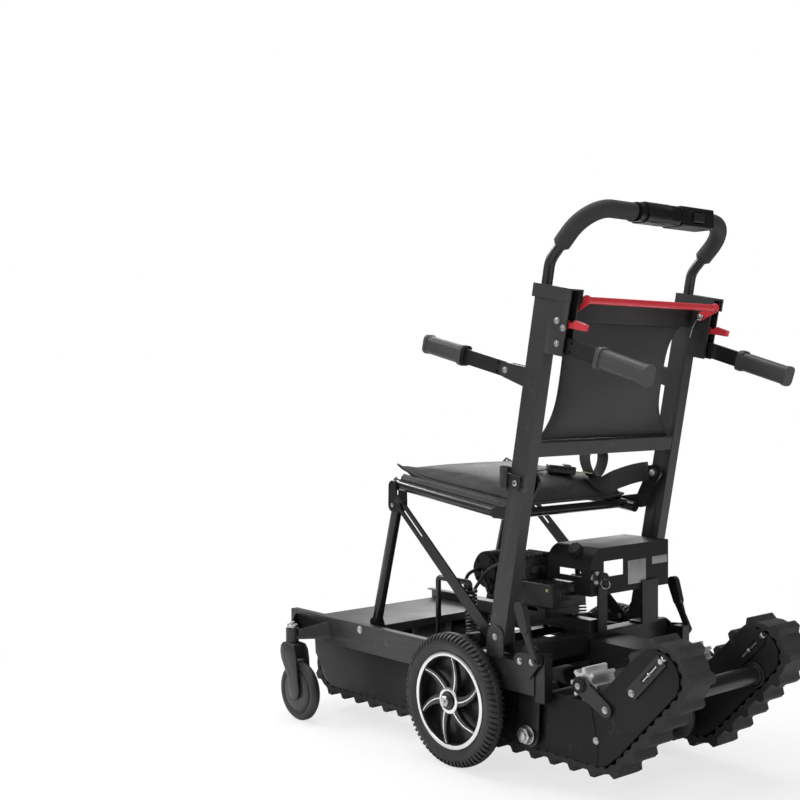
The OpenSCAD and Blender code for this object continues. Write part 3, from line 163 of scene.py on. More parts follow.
lamp("left_softbox", (-0.2, 2.8, 1.7), (0, 0, 0.45), (2.0, 1.6), 34)
lamp("top_softbox", (0.3, -0.1, 2.8), (0, 0, 0.3), (1.8, 1.8), 44)
lamp("rear_fill", (-2.6, -0.4, 1.1), (0, 0, 0.5), (0.8, 1.2), 20)
lamp("strip", (2.0, 0.7, 2.0), (0, 0, 0.4), (1.6, 0.3), 30)
lamp("front_rim", (1.9, -1.9, 1.6), (0, 0, 0.5), (1.2, 1.6), 24)


# Chassis: folded steel rails with a web and flanges, welded box section cross members and hanger plates.
# All of it is satin powder coat with a fine orange peel, slow drifts of tone and gloss, and faint rubbed
# places, held together by zinc plated button head bolts.
def value_group(name, inputs, outputs):
    """A shader node group that gives values which vary over the surface."""
    tree = bpy.data.node_groups.new(name, "ShaderNodeTree")
    for label, value in inputs:
        socket = tree.interface.new_socket(label, in_out="INPUT", socket_type="NodeSocketFloat")
        socket.default_value = value
    for label in outputs:
        tree.interface.new_socket(label, in_out="OUTPUT", socket_type="NodeSocketFloat")
    return tree, tree.nodes.new("NodeGroupInput"), tree.nodes.new("NodeGroupOutput")


grain_group, grain_in, grain_out = value_group(
    "surface_grain", [("Grain Scale", 900.0), ("Drift Scale", 9.0), ("Rub Scale", 34.0)],
    ["Height", "Drift", "Rub"])
grain_where = add_node(grain_group, "ShaderNodeTexCoord")
rub_range = add_node(grain_group, "ShaderNodeMapRange", {"From Min": 0.6, "From Max": 0.78})
for scale, look, target, entry in (
        ("Grain Scale", {"Detail": 2.0}, grain_out, "Height"),
        ("Drift Scale", {"Detail": 3.0}, grain_out, "Drift"),
        ("Rub Scale", {"Detail": 6.0, "Roughness": 0.72}, rub_range, "Value")):
    noise = add_node(grain_group, "ShaderNodeTexNoise", look)
    join(grain_group, (grain_where, "Object", noise, "Vector"), (grain_in, scale, noise, "Scale"),
         (noise, "Fac", target, entry))
join(grain_group, (rub_range, 0, grain_out, "Rub"))


def finish(name, dark, pale, rough, metal=0.0, grain=900.0, depth=0.00006, drift=9.0, rub=0.0, rub_tone=0.25,
           relief=None, shine=0.5):
    """A material whose tone and gloss drift over the surface, with a fine bump and faint rubbed marks.
    relief(tree) adds the node of a pattern, whose height comes under the grain."""
    material = bpy.data.materials.new(name)
    material.use_nodes = True
    tree = material.node_tree
    shader = tree.nodes["Principled BSDF"]
    shader.inputs["Metallic"].default_value = metal
    shader.inputs["Specular IOR Level"].default_value = shine
    surface = add_node(tree, "ShaderNodeGroup", {"Grain Scale": grain, "Drift Scale": drift},
                       node_tree=grain_group)
    tone = add_node(tree, "ShaderNodeMix", {"A": (*dark, 1), "B": (*pale, 1)}, data_type="RGBA")
    join(tree, (surface, "Drift", tone, "Factor"))
    if rub:
        amount = add_node(tree, "ShaderNodeMath", {1: rub}, operation="MULTIPLY")
        worn = add_node(tree, "ShaderNodeMix", {"B": (rub_tone, rub_tone, rub_tone, 1)}, data_type="RGBA")
        join(tree, (surface, "Rub", amount, 0), (amount, 0, worn, "Factor"), (tone, "Result", worn, "A"))
        tone = worn
    gloss = add_node(tree, "ShaderNodeMapRange",
                     {"From Min": 0.3, "From Max": 0.7, "To Min": rough[0], "To Max": rough[1]})
    bump = add_node(tree, "ShaderNodeBump", {"Strength": 0.5, "Distance": depth})
    join(tree, (tone, "Result", shader, "Base Color"), (surface, "Drift", gloss, "Value"),
         (gloss, 0, shader, "Roughness"), (surface, "Height", bump, "Height"),
         (bump, "Normal", shader, "Normal"))
    if relief:
        pattern = add_node(tree, "ShaderNodeBump", {"Strength": 0.7, "Distance": 0.0004})
        join(tree, (relief(tree), "Height", pattern, "Height"), (pattern, "Normal", bump, "Normal"))
    return material


def dress(node, material):
    """Gives a CAD piece that stays as it is its finish."""
    data = frame["nodes"][node].data
    data.materials.clear()
    data.materials.append(material)


def body_of(node):
    return next(b for b, names in frame["record"]["behaviour"]["bodies"].items() if node in names)


def slot_of(node):
    return next(p["material_slot"] for p in frame["record"]["subparts"] if p["node"] == node)


def settle(ob, body, slot, *replaced):
    """Last step of every new piece: its body and the CAD pieces that it stands for. The slot argument is not
    used.
    """
    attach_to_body(ob, body)
    if replaced:
        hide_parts(*replaced)
    return ob


def attach(ob, node, instead=False):
    """Settles a new piece on the body of a CAD piece, beside it or instead of it."""
    return settle(ob, body_of(node), slot_of(node), *([node] if instead else []))


def apply_modifiers(ob):
    """Turns what the modifiers make into the piece's own plain mesh."""
    depsgraph = bpy.context.evaluated_depsgraph_get()
    mesh = bpy.data.meshes.new_from_object(ob.evaluated_get(depsgraph))
    ob.modifiers.clear()
    ob.data = mesh


def run_tree(ob, tree, **values):
    """Puts a geometry node tree on a piece, sets its inputs and keeps the mesh that it makes."""
    modifier = ob.modifiers.new("nodes", "NODES")
    modifier.node_group = tree
    for item in tree.interface.items_tree:
        if item.in_out == "INPUT" and item.name in values:
            modifier[item.identifier] = values[item.name]
    apply_modifiers(ob)


def mesh_object(name, bm, material, sharp=None):
    """A piece with the mesh of bm; with sharp, it is smooth but for edges over that many degrees."""
    mesh = bpy.data.meshes.new(name)
    if sharp:
        for face in bm.faces:
            face.smooth = True
    bm.to_mesh(mesh)
    bm.free()
    mesh.materials.append(material)
    if sharp:
        mesh.set_sharp_from_angle(angle=math.radians(sharp))
    return linked(name, mesh)


def line_object(name, points, edges=()):
    """A piece of bare points and edges, for a tree to work on."""
    mesh = bpy.data.meshes.new(name)
    mesh.from_pydata([tuple(p) for p in points], edges, [])
    return linked(name, mesh)


def islands(bm):
    """The separate solids of a mesh, as lists of their corners."""
    left = set(bm.verts)
    while left:
        found = [left.pop()]
        for vert in found:
            for edge in vert.link_edges:
                other = edge.other_vert(vert)
                if other in left:
                    left.remove(other)
                    found.append(other)
        yield found


def eased(node, width, material, angle=35, without=None):
    """The CAD piece with its flat faces made whole and its sharp edges broken, as on coated metal.
    without(corners) is true for a solid of it that is drawn anew elsewhere."""
    bm = bmesh.new()
    bm.from_mesh(frame["nodes"][node].data)
    bmesh.ops.remove_doubles(bm, verts=bm.verts, dist=1e-6)
    bmesh.ops.dissolve_limit(bm, angle_limit=math.radians(0.4), verts=bm.verts, edges=bm.edges)
    if without:
        for solid in list(islands(bm)):
            if without(solid):
                bmesh.ops.delete(bm, geom=solid, context="VERTS")
    for face in bm.faces:
        face.material_index = 0
    ob = mesh_object(node + "_eased", bm, material, 40)
    tuned(ob.modifiers.new("edge", "BEVEL"), width=width / 1000, segments=2, limit_method="ANGLE",
          angle_limit=math.radians(angle), use_clamp_overlap=True, harden_normals=True)
    apply_modifiers(ob)
    return attach(ob, node, instead=True)


def loft(rings, bm=None):
    """A closed solid over rings of points, with a flat cap at each end."""
    bm = bmesh.new() if bm is None else bm
    rings = [[bm.verts.new(p) for p in ring] for ring in rings]
    for low, high in zip(rings, rings[1:]):
        for k in range(len(low)):
            m = (k + 1) % len(low)
            bm.faces.new((low[k], low[m], high[m], high[k]))
    bm.faces.new(rings[0][::-1])
    bm.faces.new(rings[-1])
    bmesh.ops.recalc_face_normals(bm, faces=bm.faces)
    return bm


def bolt_head():
    """A button head with a hexagon socket on a plain washer, pointing up Z, for the bolt tree to repeat."""
    socket = 1.75
    rings = []
    for r, z in ((6.2, 0), (6.2, 0.9), (5, 0.9), (4.8, 2.4), (3.9, 3.4), (2.5, 3.7), (0, 3.7), (0, 1.9)):
        ring = []
        for turn in range(0, 360, 15):
            a = math.radians(turn)
            reach = r or socket / math.cos(math.radians(turn % 60 - 30))
            ring.append(Vector((reach * math.cos(a), reach * math.sin(a), z)) / 1000)
        rings.append(ring)
    return loft(rings)


def new_tree(name, inputs):
    """An empty geometry node tree with named inputs that ends by making its copies real and painting them."""
    tree = bpy.data.node_groups.new(name, "GeometryNodeTree")
    for label, kind in inputs:
        tree.interface.new_socket(label, in_out="INPUT", socket_type="NodeSocket" + kind)
    tree.interface.new_socket("Geometry", in_out="OUTPUT", socket_type="NodeSocketGeometry")
    given = add_node(tree, "NodeGroupInput")
    made = add_node(tree, "NodeGroupOutput")
    copies = add_node(tree, "GeometryNodeInstanceOnPoints")
    real = add_node(tree, "GeometryNodeRealizeInstances")
    coat = add_node(tree, "GeometryNodeSetMaterial")
    join(tree, (copies, 0, real, 0), (real, 0, coat, "Geometry"), (given, "Finish", coat, "Material"),
         (coat, 0, made, 0))
    return tree, given, copies


bolt_group, bolt_given, bolt_copies = new_tree("bolts_on_points", (
    ("Spots", "Geometry"), ("Bolt", "Object"), ("Turn", "Vector"), ("Size", "Float"), ("Finish", "Material")))
bolt_shape = add_node(bolt_group, "GeometryNodeObjectInfo")
bolt_turn = add_node(bolt_group, "FunctionNodeEulerToRotation")
join(bolt_group, (bolt_given, "Spots", bolt_copies, "Points"), (bolt_given, "Bolt", bolt_shape, "Object"),
     (bolt_shape, "Geometry", bolt_copies, "Instance"), (bolt_given, "Turn", bolt_turn, 0),
     (bolt_turn, 0, bolt_copies, "Rotation"), (bolt_given, "Size", bolt_copies, "Scale"))


def bolts(name, spots, body, size=1.0, facing=1):
    """Zinc plated bolt heads on points of the left side and, mirrored, on those of the right side.
    They face outwards, or with facing -1 towards the mid-plane."""
    for side, hand in SIDES:
        template = mesh_object("bolt_template", bolt_head(), zinc)
        ob = line_object(name + "_" + side, [(p.x, p.y * hand, p.z) for p in spots])
        turn = (-math.pi / 2 * hand * facing, 0, 0)
        run_tree(ob, bolt_group, Bolt=template, Turn=turn, Size=size, Finish=zinc)
        bpy.data.objects.remove(template)
        settle(ob, body, "zinc")


strut_top, strut_rear = 0.333, -0.05


def spring_strut(solid):
    """True for the plain struts over the springs, in whose place the bent stays are drawn."""
    return max(v.co.z for v in solid) > strut_top and min(v.co.x for v in solid) > strut_rear


zinc = finish("zinc_plate", (0.42, 0.42, 0.415), (0.62, 0.62, 0.61), (0.24, 0.4), metal=1.0, grain=500,
              depth=0.00008, drift=40)
charcoal = finish("charcoal_coat", (0.016, 0.0164, 0.0171), (0.024, 0.0245, 0.0254), (0.32, 0.44), rub=0.25)
black_coat = finish("black_coat", (0.0055, 0.0055, 0.006), (0.01, 0.01, 0.0105), (0.28, 0.4), rub=0.2)
cover_coat = finish("cover_coat", (0.006, 0.006, 0.0065), (0.011, 0.011, 0.0115), (0.4, 0.54), rub=0.15,
                    shine=0.25)
eased("side_rails", 0.8, charcoal)
eased("cross_members", 1.6, black_coat)
eased("hanger_plates", 0.8, black_coat)
eased("brackets", 0.8, black_coat, without=spring_strut)
dress("chassis_bolts", zinc)
bolts("rail_bolts", [place(-150, 217, 219), place(-180, 217, 222), place(-318, 182, 158),
                     place(-89.4, 219, 253.5)], "chassis")
bolts("track_bolts", [place(-375.5, 182.4, 197.9), place(-295, 177.6, 100)], "chassis")
bolts("footplate_bolt", [place(315, 212, 205)], "chassis", 1.3)


# Footplate: a plain steel tread between the rails, satin and lightly scuffed by shoes. Its front and rear
# edges are turned down, a toe board hangs under it between the tracks, and it is bolted through the rails.
def block(name, size, spot, along, material, edge):
    """A rounded block, long along a level direction, with its place baked into its mesh."""
    bm = bmesh.new()
    bmesh.ops.create_cube(bm, size=1.0)
    across = UP.cross(along).normalized()
    turn = Matrix((along, across, along.cross(across))).transposed().to_4x4()
    bm.transform(Matrix.Translation(spot) @ turn @ Matrix.Diagonal((*size, 1)))
    bmesh.ops.bevel(bm, geom=bm.edges, offset=edge, segments=3, affect="EDGES", profile=0.6)
    return mesh_object(name, bm, material, 50)


tread_coat = finish("tread_coat", (0.022, 0.022, 0.023), (0.038, 0.038, 0.04), (0.4, 0.52), drift=14, rub=0.5,
                    rub_tone=0.16)
tread_width = 0.418
lip_size = (0.003, tread_width, 0.0132)
tread = block("footplate_tread", (0.193, tread_width, 0.004), place(458.5, 0, 192), FORWARD, tread_coat,
              0.001)
attach(tread, "footplate", instead=True)
for name, size, x, z, material in (
        ("lip_rear", lip_size, 363.5, 184.6, tread_coat), ("lip_front", lip_size, 553.5, 184.6, tread_coat),
        ("toe_board", (0.003, 0.208, 0.079), 515, 150.4, black_coat)):
    attach(block("footplate_" + name, size, place(x, 0, z), FORWARD, material, 0.0008), "footplate")

# Tracks: steel side plates round a moulded rubber belt with chunky lugs, whose edges the mould leaves round.
# The belt is matt, with faint dusty grey patches here and there. Sheet covers are screwed
# to the plates.
belt_rubber = finish("belt_rubber", (0.012, 0.012, 0.0122), (0.024, 0.024, 0.0245), (0.62, 0.8), grain=420,
                     depth=0.0002, drift=22, rub=0.35, rub_tone=0.06)
eased("track_frames", 0.9, charcoal)
eased("track_belts", 1.6, belt_rubber, angle=18)


def sheet_metal(name, outlines, y0, y1, material, edge=0.4):
    """Flat plates cut to outlines in X and Z, all between y0 and y1 from the mid-plane, in millimetres."""
    bm = bmesh.new()
    for outline in outlines:
        loft([[place(x, y, z) for x, z in outline] for y in (y0, y1)], bm)
    if edge:
        corners = [e for e in bm.edges if e.calc_face_angle(0) > 0.7]
        bmesh.ops.bevel(bm, geom=corners, offset=edge / 1000, segments=2, affect="EDGES", profile=0.5)
    return mesh_object(name, bm, material, 40)


track_bend = Vector((-300, 98))
climb = Vector((-0.68835, 0.72537))
climb_up = Vector((climb.y, -climb.x))


def on_climb(along, over):
    """A point of the climbing section: along it from the bend, and over its middle line."""
    return track_bend + climb * along + climb_up * over


cover_half = 41.5
idler_along = 185
level_cover = [(-282, 163.5), (-299, 86), (-296, 56), (466, 56), (519, 122), (522, 163.5)]
climb_cover = [(-283.4, 163.5), (-300.4, 86), (-297.4, 56), (-318, 62)]
climb_cover += [on_climb(along, -cover_half) for along in (20, idler_along)]
for turn in range(-78, 91, 12):
    lean = math.radians(turn)
    over = math.sin(lean) * (cover_half + 8 * max(0.0, math.sin(lean)))
    climb_cover.append(on_climb(idler_along + cover_half * math.cos(lean), over))
climb_cover += [on_climb(150, 53), on_climb(60, 55)]
for side, hand in SIDES:
    for face, y0, y1 in (("outer", 176.2, 177.6), ("inner", 105.4, 106.8)):
        cover = sheet_metal("track_cover_%s_%s" % (face, side), (level_cover, climb_cover), y0 * hand,
                            y1 * hand, cover_coat)
        attach(cover, "track_frames")


# Belt tighteners: a black slotted block on the climbing section, with a threaded rod and its nut in the slot.
# The rod pulls the tail idler's axle; its bolt head stands at the block's upper end.
def sweep(name, path, section, material, up=None):
    """A closed mesh drawn along a path; section(s) lists the outline's points at length s in metres.
    up gives the side that faces up at each point, as on a strap; without it the outline turns little."""
    count = len(path)
    lengths = [0.0]
    for a, b in zip(path, path[1:]):
        lengths.append(lengths[-1] + (b - a).length)
    normal = Vector((0.13, 0.21, 0.97))
    bm = bmesh.new()
    uv = bm.loops.layers.uv.new("UVMap")
    rings = []
    for i, (p, s) in enumerate(zip(path, lengths)):
        way = (path[min(i + 1, count - 1)] - path[max(i - 1, 0)]).normalized()
        normal = up[i] if up else normal
        normal = (normal - normal.dot(way) * way).normalized()
        side = normal.cross(way)
        rings.append([bm.verts.new(p + side * a + normal * b) for a, b in section(s)])
    sides = len(rings[0])
    outline = section(lengths[count // 2])
    around = [0.0]
    for a, b in zip(outline, outline[1:] + outline[:1]):
        around.append(around[-1] + math.dist(a, b))
    for i in range(count - 1):
        for k in range(sides):
            spots = ((k, i), (k + 1, i), (k + 1, i + 1), (k, i + 1))
            face = bm.faces.new([rings[v][u % sides] for u, v in spots])
            face.smooth = True
            for loop, (u, v) in zip(face.loops, spots):
                loop[uv].uv = (around[u], lengths[v])
    bm.faces.new(rings[0][::-1])
    bm.faces.new(rings[-1])
    bmesh.ops.recalc_face_normals(bm, faces=bm.faces)
    return mesh_object(name, bm, material)


def ring_of(radius, sides):
    turns = [2 * math.pi * k / sides for k in range(sides)]
    return [(radius * math.cos(a), radius * math.sin(a)) for a in turns]


def round_bar(name, path, radius, sides, material):
    """A bar, cable or wire of one thickness along a path."""
    return sweep(name, path, lambda s: ring_of(radius, sides), material)


def screw_thread(s):
    pitch = 0.002
    return ring_of(0.0021 + 0.0003 * math.sin(s * 2 * math.pi / pitch), 10)


def shares(steps):
    """Even shares from 0 to 1, for the points of a run."""
    return [i / steps for i in range(steps + 1)]


slot_over = 14
slot_middle = 168


def on_slot(start, end, y, steps=1):
    """A straight run along the slot, at y from the mid-plane."""
    spots = [on_climb(start + (end - start) * t, slot_over) for t in shares(steps)]
    return [place(p.x, y, p.y) for p in spots]


slot_end = 47.4
slot_bars = ((-slot_end, slot_end, -11.4, -4), (-slot_end, slot_end, 4, 11.4),
             (-slot_end, -12, -4.4, 4.4), (32, slot_end, -4.4, 4.4))
slot_frame = [[on_climb(slot_middle + a, slot_over + b) for a, b in ((a0, b0), (a1, b0), (a1, b1), (a0, b1))]
              for a0, a1, b0, b1 in slot_bars]
for side, hand in SIDES:
    for face, y0, y1, rod_y in (("outer", 181, 182.4, 180.6), ("inner", 102, 100.6, 102.4)):
        mark = "_%s_%s" % (face, side)
        slotted = sheet_metal("tightener" + mark, slot_frame, y0 * hand, y1 * hand, black_coat, 0)
        attach(slotted, "track_frames")
        rod = sweep("tightener_rod" + mark, on_slot(157.5, 198.5, rod_y * hand, 40), screw_thread, zinc)
        nut = round_bar("tightener_nut" + mark, on_slot(174, 179, rod_y * hand), 0.0042, 6, zinc)
        head = round_bar("tightener_head" + mark, on_slot(215.6, 222, (rod_y - 0.5) * hand), 0.006, 6, zinc)
        for piece in (rod, nut, head):
            settle(piece, "chassis", "zinc")


# Drive: cast aluminium sprockets on a bright axle, turned idlers, a black gearbox and motor between the
# tracks. The castings are bead blasted, and the gearbox is painted. Capped bolts hold the axle, and big nuts
# the wheel arms.
def disc(x, z, radius, corners=36):
    """A round or many-cornered outline in X and Z."""
    return [(x + a, z + b) for a, b in ring_of(radius, corners)]


cast_aluminium = finish("cast_aluminium", (0.62, 0.625, 0.63), (0.8, 0.805, 0.81), (0.34, 0.48), metal=0.75,
                        grain=260, depth=0.00025, drift=16, rub=0.4, rub_tone=0.35)
casting_black = finish("casting_black", (0.007, 0.007, 0.0075), (0.013, 0.013, 0.0135), (0.56, 0.7),
                       grain=300, depth=0.0003, shine=0.3)
eased("drive_axle", 0.9, cast_aluminium)
axle_x, axle_z = -260.69, 189.5
arm_x, arm_z = -147, 82
arm_fasteners = (("washer", disc(arm_x, arm_z, 17.6), 191.8, 196.3, 0.6),
                 ("nut", disc(arm_x, arm_z, 15.8, 6), 196, 206.6, 1.2),
                 ("stud", disc(arm_x, arm_z, 9, 24), 206, 210, 1))
for side, hand in SIDES:
    axle_cap = sheet_metal("axle_cap_" + side, (disc(axle_x, axle_z, 12.4),), 184.3 * hand, 187 * hand,
                           casting_black, 0.6)
    attach(axle_cap, "drive_axle")
    for name, outline, y0, y1, edge in arm_fasteners:
        fastener = sheet_metal("arm_%s_%s" % (name, side), (outline,), y0 * hand, y1 * hand, zinc, edge)
        settle(fastener, "chassis", "zinc")
bolts("axle_bolt", [place(axle_x, 187, axle_z)], "drive", 0.9)
# The idlers' stub shafts are drawn in a little, clear of the plates that they turn in.
stub_reach = 0.0086
stub_ease = 0.05
for name, x, z in (("front_idlers", 463.22, 98), ("tail_idlers", -427.35, 232.19)):
    idlers = eased(name, 0.6, casting_black)
    middle = place(x, 0, z)
    for vert in idlers.data.vertices:
        out = Vector((vert.co.x - middle.x, 0, vert.co.z - middle.z))
        if out.length < stub_reach:
            vert.co -= out * stub_ease
eased("drive_unit", 2.5, casting_black)
eased("motor_unit", 1.6, casting_black)

# Electrics: a moulded battery case with a small lamp and a finned control box, seated on the chassis spine.
# Both are injection moulded with a fine spark texture.
case_plastic = finish("case_plastic", (0.009, 0.009, 0.0095), (0.014, 0.014, 0.015), (0.26, 0.4), grain=700,
                      depth=0.00012)
box_plastic = finish("box_plastic", (0.012, 0.012, 0.0125), (0.02, 0.02, 0.021), (0.4, 0.55), grain=600,
                     depth=0.0002)
lens_green = finish("lens_green", (0.42, 0.5, 0.06), (0.6, 0.66, 0.12), (0.12, 0.2), depth=0.00001)
eased("battery", 2.0, case_plastic)
charge_lamp = block("charge_lamp", (0.006, 0.0024, 0.006), place(-108, 99.8, 327), FORWARD, lens_green, 0.001)
attach(charge_lamp, "battery")
eased("controller_box", 0.9, box_plastic)


# Motor leads: two rubber sheathed cables between the lift motor and the control box. They leave the motor's
# end cap, hang in a loop beside it and go into glands on the box, so both ends are held by the object.
def smooth(points, steps=8):
    """A curve that runs through all the points."""
    p = [Vector(q) for q in points]
    p = [2 * p[0] - p[1]] + p + [2 * p[-1] - p[-2]]
    path = []
    for i in range(1, len(p) - 2):
        for j in range(steps):
            t = j / steps
            path.append(0.5 * (2 * p[i] + (p[i + 1] - p[i - 1]) * t
                               + (2 * p[i - 1] - 5 * p[i] + 4 * p[i + 1] - p[i + 2]) * t * t
                               + (3 * p[i] - p[i - 1] - 3 * p[i + 1] + p[i + 2]) * t ** 3))
    return path + [p[-2]]


def run_length(path):
    return sum((b - a).length for a, b in zip(path, path[1:]))


cable_rubber = finish("cable_rubber", (0.01, 0.01, 0.0105), (0.016, 0.016, 0.017), (0.4, 0.55), grain=600,
                      depth=0.0001)
lead_d = 0.007
lead_routes = (
    [(60, 92.3, 345), (60, 103, 345), (50, 112, 338), (40, 114, 322), (34, 114, 308), (26, 112, 300),
     (16, 112, 312), (12, 112, 336), (10, 106, 362), (10, 94.3, 362)],
    [(80, 92.3, 345), (80, 106, 345), (88, 118, 336), (90, 124, 318), (82, 126, 304), (66, 127, 306),
     (48, 127, 326), (24, 126, 352), (-4, 116, 370), (-8, 105, 372), (-8, 94.3, 372)])
for number, route in enumerate(lead_routes, 1):
    lead_path = smooth([place(*p) for p in route])
    lead = round_bar("motor_lead_%d" % number, lead_path, lead_d / 2, 12, cable_rubber)
    settle(lead, "chassis", "cable", "motor_cables")
    tuple(lead_path[0])
    run_length(lead_path)
    [tuple(p) for p in lead_path]

# Cover: one folded black sheet over the electrics, with its key switch, clamping knob and two bare plates.
# The sheet is powder coated and the lock plated. The key is moulded black on a bright ring, and the knob is
# moulded on a steel insert.
knob_plastic = finish("knob_plastic", (0.008, 0.008, 0.0085), (0.014, 0.014, 0.015), (0.34, 0.5), grain=500,
                      depth=0.0001)
plate_metal = finish("plate_metal", (0.3, 0.3, 0.3), (0.42, 0.42, 0.42), (0.34, 0.48), metal=0.9, grain=900,
                     depth=0.00004, drift=60)
eased("housing", 0.7, cover_coat)
for name, width, height, y, z in (
        ("data_plate", 0.054, 0.046, -87, 352), ("name_strip", 0.047, 0.015, -157, 369)):
    plate = block(name, (0.0008, width, height), place(-170.4, y, z), FORWARD, plate_metal, 0.0003)
    attach(plate, "key_switch")
dress("key_switch", zinc)
eased("key", 0.8, knob_plastic)
ring_path = []
for turn in range(0, 361, 12):
    a = math.radians(turn)
    ring_path.append(place(-195 + 9 * math.sin(a), 35 + 2 * math.sin(a), 343 + 9 * math.cos(a)))
attach(round_bar("key_ring", ring_path, 0.0008, 8, zinc), "key")
eased("knob", 0.8, knob_plastic)


# Rear wheels on sprung arms: a grooved rubber tyre on a dark rim whose lip and spoke ridges are machined
# bright. The tyre has a plain middle rib, and rows of small tread blocks run down both shoulders. A nut on
# the axle's threaded end holds each wheel.
def lathe(name, profile, centre, material, steps=128, sharp=40):
    """A closed ring turned about an axle along Y; profile points are radius and offset from its middle."""
    bm = bmesh.new()
    x, y, z = centre
    rings = []
    for a in (2 * math.pi * i / steps for i in range(steps)):
        spots = [place(x + r * math.cos(a), y + w, z + r * math.sin(a)) for r, w in profile]
        rings.append([bm.verts.new(p) for p in spots])
    for near, far in zip(rings, rings[1:] + rings[:1]):
        for k in range(len(profile)):
            m = (k + 1) % len(profile)
            bm.faces.new((near[k], near[m], far[m], far[k]))
    bmesh.ops.recalc_face_normals(bm, faces=bm.faces)
    return mesh_object(name, bm, material, sharp)


round_axle, axle_given, axle_copies = new_tree("round_the_axle", (
    ("Shape", "Geometry"), ("Count", "Int"), ("Axle", "Vector"), ("Finish", "Material")))
axle_spots = add_node(round_axle, "GeometryNodePoints")
axle_back = add_node(round_axle, "ShaderNodeVectorMath", {"Scale": -1.0}, operation="SCALE")
axle_shape = add_node(round_axle, "GeometryNodeTransform")
axle_index = add_node(round_axle, "GeometryNodeInputIndex")
axle_step = add_node(round_axle, "ShaderNodeMath", {0: 2 * math.pi}, operation="DIVIDE")
axle_angle = add_node(round_axle, "ShaderNodeMath", operation="MULTIPLY")
axle_turn = add_node(round_axle, "ShaderNodeCombineXYZ")
axle_spin = add_node(round_axle, "FunctionNodeEulerToRotation")
join(round_axle, (axle_given, "Count", axle_spots, "Count"), (axle_given, "Axle", axle_spots, "Position"),
     (axle_given, "Axle", axle_back, 0), (axle_given, "Shape", axle_shape, "Geometry"),
     (axle_back, "Vector", axle_shape, "Translation"), (axle_given, "Count", axle_step, 1),
     (axle_index, 0, axle_angle, 0), (axle_step, 0, axle_angle, 1), (axle_angle, 0, axle_turn, "Y"),
     (axle_turn, 0, axle_spin, 0), (axle_spots, 0, axle_copies, "Points"),
     (axle_shape, 0, axle_copies, "Instance"), (axle_spin, 0, axle_copies, "Rotation"))
tyre_rubber = finish("tyre_rubber", (0.011, 0.011, 0.0115), (0.022, 0.022, 0.023), (0.4, 0.58), grain=380,
                     depth=0.00012, drift=26, rub=0.2, rub_tone=0.07)
rim_black = finish("rim_black", (0.01, 0.01, 0.0105), (0.016, 0.016, 0.017), (0.26, 0.36))
machined = finish("machined_bright", (0.72, 0.72, 0.725), (0.86, 0.86, 0.865), (0.16, 0.28), metal=1.0,
                  grain=300, depth=0.00004, drift=30)
wheel_r = 125
wheel_y = 239
ridge_y = 250.6
tyre_half = [(90.2, 11), (93, 13.4), (97, 15.6), (103, 17.7), (108, 18), (111.5, 16.9), (114.6, 14.6),
             (117.2, 11.8), (119.2, 8.8), (120.2, 6.2), (122.4, 5.3), (124.7, 4.4), (wheel_r, 2.2)]
tyre_profile = tyre_half + [(r, -w) for r, w in reversed(tyre_half)]
block_line = [(111.6, 17.9), (116.6, 16.9), (120.2, 14.2), (123, 10.6), (124.6, 5.6)]
block_root = [(109.6, 16), (112.6, 13.6), (115.4, 10.8), (117.4, 8), (118.4, 5)]
turned_parts = (
    ("rim_lip", machined, 144, [(82.6, 13.6), (83.2, 14.6), (88.6, 15), (90.4, 14.2), (91, 12.4),
                                (89.4, 11.8), (84, 12.4)]),
    ("rim_web", rim_black, 96, [(20, -11), (83, -11), (83, -13), (20, -13)]),
    ("hub_ring", machined, 64, [(17.2, 13.6), (18, 14.8), (22.6, 15), (24.4, 14), (24.6, 11), (17.2, 11)]),
    ("hub_nut", zinc, 6, [(4, 18.2), (10.6, 18.2), (10.6, 24), (9.2, 25.4), (4, 25.4)]),
    ("axle_end", zinc, 24, [(0.05, 18.2), (4.4, 18.2), (4.4, 27.4), (3.6, 28.4), (0.05, 28.4)]))
for side, hand in SIDES:
    wheel = (0, wheel_y * hand, wheel_r)
    tyre = lathe("tyre_casing_" + side, tyre_profile, wheel, tyre_rubber, 144, 60)
    attach(tyre, "tyre_" + side, instead=True)
    bm = bmesh.new()
    for face in (1, -1):
        rings = []
        for j, (root, top) in enumerate(zip(block_root, block_line)):
            ring = []
            for (r, w), half in ((root, 1.55), (top, 1.3), (top, -1.3), (root, -1.55)):
                a = math.radians(half + 0.5 * j * face)
                ring.append(place(r * math.cos(a), wheel[1] + w * face, wheel_r + r * math.sin(a)))
            rings.append(ring)
        loft(rings, bm)
    blocks = mesh_object("tyre_blocks_" + side, bm, tyre_rubber)
    run_tree(blocks, round_axle, Count=72, Axle=place(*wheel), Finish=tyre_rubber)
    attach(blocks, "tyre_" + side)
    eased("rim_" + side, 0.8, rim_black)
    rings = []
    for t in shares(12):
        r = 23 + 60 * t
        a = math.radians(25.48 * t)
        half = (2.1 - 0.7 * t) / r
        edges = [(a + half * k, lift) for k, lift in ((1, 0), (0.5, 1.1), (-0.5, 1.1), (-1, 0))]
        rings.append([place(r * math.cos(b), (ridge_y + lift) * hand, wheel_r - r * math.sin(b))
                      for b, lift in edges])
    ridges = mesh_object("spoke_ridges_" + side, loft(rings), machined)
    run_tree(ridges, round_axle, Count=6, Axle=place(*wheel), Finish=machined)
    attach(ridges, "rim_" + side)
    for name, material, steps, profile in turned_parts:
        part = lathe("%s_%s" % (name, side), [(r, w * hand) for r, w in profile], wheel, material, steps)
        attach(part, "rim_" + side)
    eased("wheel_arm_" + side, 1.0, black_coat)
    eased("lever_" + side, 1.6, knob_plastic)
